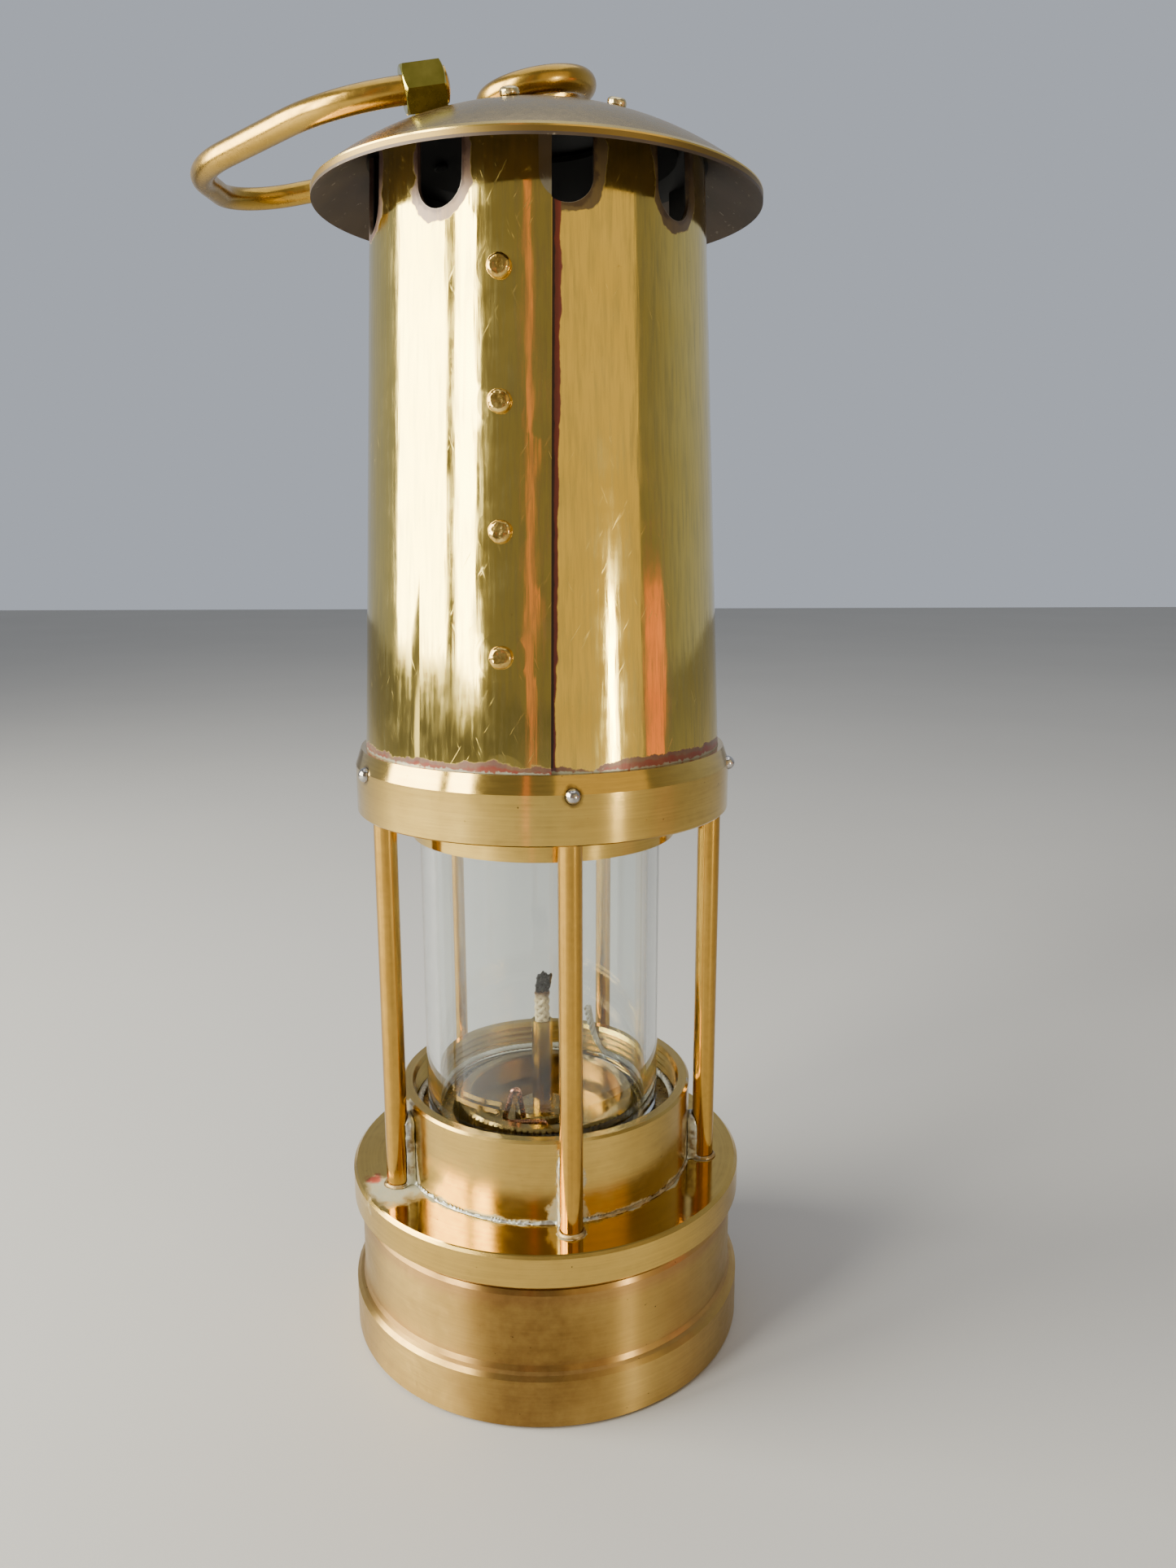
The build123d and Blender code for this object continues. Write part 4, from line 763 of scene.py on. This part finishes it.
def cotton_finish(name, light, shade, char_from=None):
    """Cotton thread, blackened above a height if it has burned."""
    material, tree, shader = new_finish(name, 0.0, 0.9)
    shader.inputs["Sheen Weight"].default_value = 0.12
    shader.inputs["Sheen Roughness"].default_value = 0.5
    shader.inputs["Specular IOR Level"].default_value = 0.15
    places = lamp_places(tree)
    cloud, fibre = tarnish(tree, places, 2.5 * MM, 0.35 * MM, seed=0.9)
    colour = stain(tree, srgb(light), srgb(shade), cloud)
    if char_from is not None:
        depth = add(tree, "ShaderNodeMath", {0: char_from, 1: places["z"]}, operation="SUBTRACT")
        scorched = within(tree, depth, 1.3 * MM, cloud, 1.0 * MM, 0.9 * MM)
        burned = within(tree, depth, 0.0, cloud, 0.9 * MM, 0.25 * MM)
        colour = stain(tree, colour, srgb("#6A4A28"), scorched)
        colour = stain(tree, colour, srgb("#070606"), burned)
    join(tree, shader, Base_Color=colour, Normal=relief(tree, (fibre, 0.06 * MM)))
    return material


def leather_finish():
    material, tree, shader = new_finish("oiled_leather", 0.0, 0.5)
    places = lamp_places(tree)
    grain = add(tree, "ShaderNodeTexVoronoi", {"Vector": places["point"], "Scale": 1 / (0.7 * MM)})
    cloud, fine = tarnish(tree, places, 6 * MM, 1.0 * MM)
    colour = stain(tree, srgb("#2B1D14"), srgb("#150E0A"), cloud)
    join(tree, shader, Base_Color=colour, Normal=relief(tree, (fine, 0.03 * MM), (grain, 0.05 * MM)))
    return material


tin_solder = solder_finish()
WICK_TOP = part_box("wick")[1].z
CHAR = 4.2 * MM
wick_cotton = cotton_finish("plaited_cotton_wick", "#EFE3C2", "#C4AC7A", WICK_TOP - CHAR)
string_cotton = cotton_finish("white_packing_string", "#F2EFE6", "#C9C3B2")
wad_cotton = cotton_finish("cotton_wadding", "#D8D0BC", "#A79C80")
seal_leather = leather_finish()
print("soft finishes:", 5)

# %% [markdown]
# ## Giving the CAD pieces their finishes
# The hard pieces keep their CAD shape. Only their material changes, and their shading is smooth
# except across real edges.

# %% Finishes of the CAD pieces
FINISH_OF = {
    "vessel_shell": vessel_brass, "vessel_bottom": vessel_brass,
    "burner_cup": cup_brass, "pricker_tube": inner_brass, "burner_plug": inner_brass,
    "pricker_collar": inner_brass, "glass_nut": inner_brass, "gauze_ring": inner_brass,
    "hood_carrier": carrier_brass, "wick_tube": tube_brass, "pricker": wire_copper,
    "platform_ring": platform_brass, "collar": collar_brass,
    "gallery_ring": gallery_brass, "glass_cap": gallery_brass,
    "bonnet_pins": pin_steel, "glass": clear_glass,
    "inner_gauze": steel_gauze, "outer_gauze": steel_gauze,
    "bonnet": bonnet_brass, "seam_rivets": rivet_brass,
    "hood": hood_brass, "hood_rivets": hood_rivet_brass,
    "handle_sleeve": sleeve_brass, "handle_hook": handle_brass,
    "pillar_1": pillar_brass, "pillar_2": pillar_brass, "pillar_3": pillar_brass,
    "pillar_4": pillar_brass, "pillar_5": pillar_brass,
}


def wear(piece, finish):
    """Gives a piece one material."""
    piece.data.materials.clear()
    piece.data.materials.append(finish)


for name, finish in FINISH_OF.items():
    wear(nodes[name], finish)
print("finished CAD pieces:", len(FINISH_OF))

# %% [markdown]
# ## Making a mesh piece
# Soft pieces are built from rows of points that each go once around: `skin` joins the rows with
# faces, and `strand` sweeps a round thread along a line of points.

# %% Mesh helpers
def mesh_piece(name, points, faces, finish, smooth=True):
    """A new object from points and faces."""
    mesh = bpy.data.meshes.new(name)
    mesh.from_pydata([tuple(p) for p in points], [], faces)
    mesh.update()
    for face in mesh.polygons:
        face.use_smooth = smooth
    piece = bpy.data.objects.new(name, mesh)
    bpy.context.scene.collection.objects.link(piece)
    wear(piece, finish)
    return piece


def skin(rows, columns, closed=False):
    """Faces that join rows of points that each go once around, with caps or a closed loop."""
    faces = []
    for row in range(rows if closed else rows - 1):
        for column in range(columns):
            a = row * columns + column
            b = row * columns + (column + 1) % columns
            c = ((row + 1) % rows) * columns + (column + 1) % columns
            d = ((row + 1) % rows) * columns + column
            faces.append((a, b, c, d))
    if not closed:
        faces.append(tuple(reversed(range(columns))))
        faces.append(tuple((rows - 1) * columns + i for i in range(columns)))
    return faces


def strand(line, radius, sides=7):
    """Points and faces of a thread swept along a line; radius may be a function of the way along."""
    points = []
    side = Vector((0, 0, 1))
    for i, here in enumerate(line):
        ahead = (line[min(i + 1, len(line) - 1)] - line[max(i - 1, 0)]).normalized()
        side = (side - ahead * side.dot(ahead)).normalized()
        other = ahead.cross(side)
        thick = radius(i / (len(line) - 1)) if callable(radius) else radius
        for k in range(sides):
            angle = 2 * math.pi * k / sides
            points.append(here + (side * math.cos(angle) + other * math.sin(angle)) * thick)
    return points, skin(len(line), sides)


def gather(parts):
    """Several sets of points and faces as one."""
    points, faces = [], []
    for more_points, more_faces in parts:
        first = len(points)
        points += more_points
        faces += [tuple(first + i for i in face) for face in more_faces]
    return points, faces


print("mesh helpers ready")

# %% [markdown]
# ## The wick
# A round plaited cotton wick fills the tube and stands 11 mm above it. It has burned, so its last
# 4 mm are black and broken and lean over. The plait is eight threads that pass over and under each
# other, four wound each way round a core.

# %% Wick
wick_low, wick_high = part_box("wick")
WICK_X, WICK_Y = (wick_low.x + wick_high.x) / 2, (wick_low.y + wick_high.y) / 2
WICK_R = (wick_high.x - wick_low.x) / 2
TIP_DROP = 1.2 * MM


def wick_centre(z):
    """The wick's middle, which leans to the right in its charred end."""
    rise = max(0.0, z - (WICK_TOP - 7 * MM)) / (7 * MM)
    return Vector((WICK_X + 0.9 * MM * rise * rise, WICK_Y, z))


def plait_thread(number, way):
    """One thread of the plait, wound one way, that weaves over and under."""
    line = []
    steps = 420
    top = WICK_TOP - TIP_DROP
    for i in range(steps + 1):
        z = wick_low.z + (top - wick_low.z) * i / steps
        angle = 2 * math.pi * (number / 4 + way * (z - wick_low.z) / (7.0 * MM))
        weave = math.sin(4 * angle + way * math.pi / 2) * 0.12 * MM
        out = WICK_R - 0.62 * MM + weave
        line.append(wick_centre(z) + Vector((math.cos(angle), math.sin(angle), 0)) * out)
    return strand(line, 0.5 * MM, 6)


def charred_tip():
    """A broken black crust on the wick's end."""
    random.seed(4)
    parts = []
    for _ in range(34):
        angle = random.uniform(0, 2 * math.pi)
        z = WICK_TOP - random.uniform(1.2, 4.4) * MM
        out = WICK_R * random.uniform(0.2, 0.95)
        root = wick_centre(z) + Vector((math.cos(angle), math.sin(angle), 0)) * out
        lean, sway, grow = random.uniform(-0.5, 0.7), random.uniform(-0.5, 0.5), random.uniform(0.5, 1.3)
        tip = root + Vector((lean, sway, grow)) * MM
        tip.z = min(tip.z, WICK_TOP - 0.15 * MM)
        middle = (root + tip) / 2 + Vector((random.uniform(-0.3, 0.3), random.uniform(-0.3, 0.3), 0)) * MM
        thick = random.uniform(0.25, 0.5) * MM
        parts.append(strand([root, middle, tip], lambda way, t=thick: t * (1 - 0.5 * way), 6))
    return gather(parts)


core_height = WICK_TOP - 1.5 * MM - wick_low.z
core_line = [wick_centre(wick_low.z + core_height * i / 60) for i in range(61)]
core = strand(core_line, WICK_R - 0.75 * MM, 12)
threads = [plait_thread(n, way) for n in range(4) for way in (1, -1)]
points, faces = gather([core, *threads, charred_tip()])
wick_plait = mesh_piece("wick_plait", points, faces, wick_cotton)
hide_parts("wick")
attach(wick_plait, "wick")
print("wick:", len(points), "points, top at", round(WICK_TOP / MM, 1), "mm")

# %% [markdown]
# ## The packing string
# White string is pressed around the glass's foot to keep the air out. It is three plies twisted
# together, 4 mm to the turn, and its loose end stands up at the back.

# %% Packing string
cord_low, cord_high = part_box("packing_cord")
CORD_RING = 28.65 * MM
CORD_Z = cord_low.z + 0.75 * MM
PLY = 0.4 * MM


def string_line():
    """The middle of the string: a turn around the glass, then the loose end."""
    line = []
    for i in range(300):
        angle = math.radians(-285 + 338 * i / 299)
        line.append(Vector((CORD_RING * math.cos(angle), CORD_RING * math.sin(angle), CORD_Z)))
    end = line[-1]
    on = Vector((-end.y, end.x, 0)).normalized()
    inward = -Vector((end.x, end.y, 0)).normalized()
    for i in range(1, 41):
        t = i / 40
        rise = Vector((0, 0, (cord_high.z - CORD_Z - PLY * 2) * t ** 1.7))
        line.append(end + on * (9.0 * t - 2.6 * t * t) * MM + inward * 0.9 * MM * t + rise)
    return line


def plies(line, offset, ply, pitch, frayed=30):
    """Three plies twisted around a line, which come apart over the last frayed points."""
    parts = []
    for k in range(3):
        way, wound = 0.0, []
        for i, here in enumerate(line):
            ahead = (line[min(i + 1, len(line) - 1)] - line[max(i - 1, 0)]).normalized()
            if i:
                way += (here - line[i - 1]).length
            side = Vector((0, 0, 1)) - ahead * ahead.z
            side = side.normalized() if side.length > 0.1 else Vector((1, 0, 0))
            angle = 2 * math.pi * (k / 3 + way / pitch)
            around = side * math.cos(angle) + ahead.cross(side) * math.sin(angle)
            loose = 1 + 1.6 * max(0, i - len(line) + frayed) / frayed
            wound.append(here + around * offset * loose)
        parts.append(strand(wound, ply, 7))
    return gather(parts)


points, faces = plies(string_line(), 0.34 * MM, PLY, 4 * MM)
packing_string = mesh_piece("packing_string", points, faces, string_cotton)
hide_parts("packing_cord")
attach(packing_string, "lamp_frame")
print("string:", round(sum((b - a).length for a, b in zip(string_line(), string_line()[1:])) / MM), "mm long")

# %% [markdown]
# ## Solder
# The CAD model has the solder's volume with clean faces. Real solder froze in lumps, so its mesh is
# copied, rebuilt from small cubes with a Remesh modifier, and roughened by moving each point along
# its normal by a noise of about 0.2 mm.

# %% Solder
def roughened(name, node, voxel, lumps, depth, finish, melted=0):
    """A copy of a CAD piece rebuilt in small cubes, rounded if it is melted or hammered, and lumpy."""
    piece = bpy.data.objects.new(name, nodes[node].data.copy())
    bpy.context.scene.collection.objects.link(piece)
    remesh = piece.modifiers.new("remesh", "REMESH")
    remesh.mode = "VOXEL"
    remesh.voxel_size = voxel
    if melted:
        rounding = piece.modifiers.new("rounding", "SMOOTH")
        rounding.factor = 0.5
        rounding.iterations = melted
    shape = bpy.data.meshes.new_from_object(piece.evaluated_get(bpy.context.evaluated_depsgraph_get()))
    piece.modifiers.clear()
    piece.data = shape
    moved = []
    for vertex in shape.vertices:
        lump = noise.fractal(vertex.co / lumps, 1.0, 2.0, 3)
        moved.append(vertex.co + vertex.normal * lump * depth)
    for vertex, place in zip(shape.vertices, moved):
        vertex.co = place
    for face in shape.polygons:
        face.use_smooth = True
    wear(piece, finish)
    return piece


solder_lumps = roughened("solder_lumps", "solder_fillets", 0.22 * MM, 3.0 * MM, 0.18 * MM, tin_solder, 6)
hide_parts("solder_fillets")
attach(solder_lumps, "lamp_frame")
print("solder:", len(solder_lumps.data.vertices), "points")

# %% [markdown]
# ## Rivets
# A rivet's head is hammered into a dome with a few flats. The CAD heads have crisp corners, so they
# are rebuilt in small cubes and rounded in the same way as the solder, but with very little noise.

# %% Rivets
RIVETS = [("seam_rivets", rivet_brass, "bonnet_brass"), ("hood_rivets", hood_rivet_brass, "hood_brass")]
for node, finish, slot in RIVETS:
    heads = roughened("hammered_" + node, node, 0.14 * MM, 1.6 * MM, 0.1 * MM, finish, 34)
    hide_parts(node)
    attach(heads, "lamp_frame")
print("rivets rounded")

# %% [markdown]
# ## Wadding, seals and gaskets
# The vessel is stuffed with cotton wadding that holds the oil. Leather rings seal the joints. Each
# ring is cut from sheet, so it has a flat face, and it bulges a little where it is pressed.

# %% Wadding and rings
wadding = roughened("wadding", "oil_wadding", 1.2 * MM, 5 * MM, 0.35 * MM, wad_cotton)
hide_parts("oil_wadding")
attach(wadding, "oil_vessel")


def pressed_ring(name, node, inner, body, finish):
    """A pressed ring with bulging edges in the place of a flat CAD ring."""
    low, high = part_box(node)
    middle = (low + high) / 2
    outer, thick = (high.x - low.x) / 2, high.z - low.z
    bulge, around_steps, section_steps = 0.3 * thick, 180, 16
    points = []
    for i in range(around_steps):
        turn = 2 * math.pi * i / around_steps
        squeeze = 1 + 0.25 * noise.noise(Vector((math.cos(turn), math.sin(turn), thick)) * 3)
        for k in range(section_steps):
            angle = 2 * math.pi * k / section_steps
            across, up = math.cos(angle), math.sin(angle)
            flat = math.copysign(abs(up) ** 0.35, up)
            width = (outer - inner) / 2
            reach = width - bulge * (1 - squeeze * 0.8)
            radius = (outer + inner) / 2 + math.copysign(abs(across) ** 0.4, across) * reach
            offset = Vector((radius * math.cos(turn), radius * math.sin(turn), flat * thick / 2))
            points.append(middle + offset)
    faces = skin(around_steps, section_steps, closed=True)
    ring = mesh_piece(name, points, faces, finish)
    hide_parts(node)
    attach(ring, body)
    return ring


pressed_ring("leather_seal_ring", "vessel_seal", 29.9 * MM, "seal", seal_leather)
pressed_ring("lower_leather_ring", "lower_gasket", 23.5 * MM, "lamp_frame", seal_leather)
pressed_ring("upper_packing_ring", "upper_gasket", 23.5 * MM, "lamp_frame", string_cotton)
pressed_ring("plug_leather_ring", "plug_washer", 4.95 * MM, "plug_washer", seal_leather)
print("rings: 4")

# %% [markdown]
# ## Floor and world
# The lamp stands on plain pale card. The world is dim in front of the lamp, where a room would be,
# and pale behind it.

# %% Floor and world
def floor_finish():
    material, tree, shader = new_finish("pale_matt_card", 0.0, 0.55)
    places = lamp_places(tree)
    cloud, tooth = tarnish(tree, places, 300 * MM, 0.8 * MM)
    colour = stain(tree, srgb("#B6B5B3"), srgb("#ABAAA8"), cloud)
    join(tree, shader, Base_Color=colour, Normal=relief(tree, (tooth, 0.01 * MM)))
    return material


SIDE = 3.0
corners = [(-SIDE, -SIDE, 0), (SIDE, -SIDE, 0), (SIDE, SIDE, 0), (-SIDE, SIDE, 0)]
floor = mesh_piece("floor", corners, [(0, 1, 2, 3)], floor_finish(), False)
floor.location.z = -0.0002

world = bpy.data.worlds.new("studio")
bpy.context.scene.world = world
world.use_nodes = True
sky = world.node_tree
way = add(sky, "ShaderNodeTexCoord", out="Generated")
behind = add(sky, "ShaderNodeSeparateXYZ", {0: way}, out="Y")
across = {"Value": behind, "From Min": -0.5, "From Max": 0.6}
room = add(sky, "ShaderNodeMapRange", across, interpolation_type="SMOOTHSTEP")
tint = stain(sky, srgb("#8C877A"), srgb("#AEB4BE"), room)
sky.links.new(tint, sky.nodes["Background"].inputs["Color"])
sky.nodes["Background"].inputs["Strength"].default_value = 1.0
print("world ready")
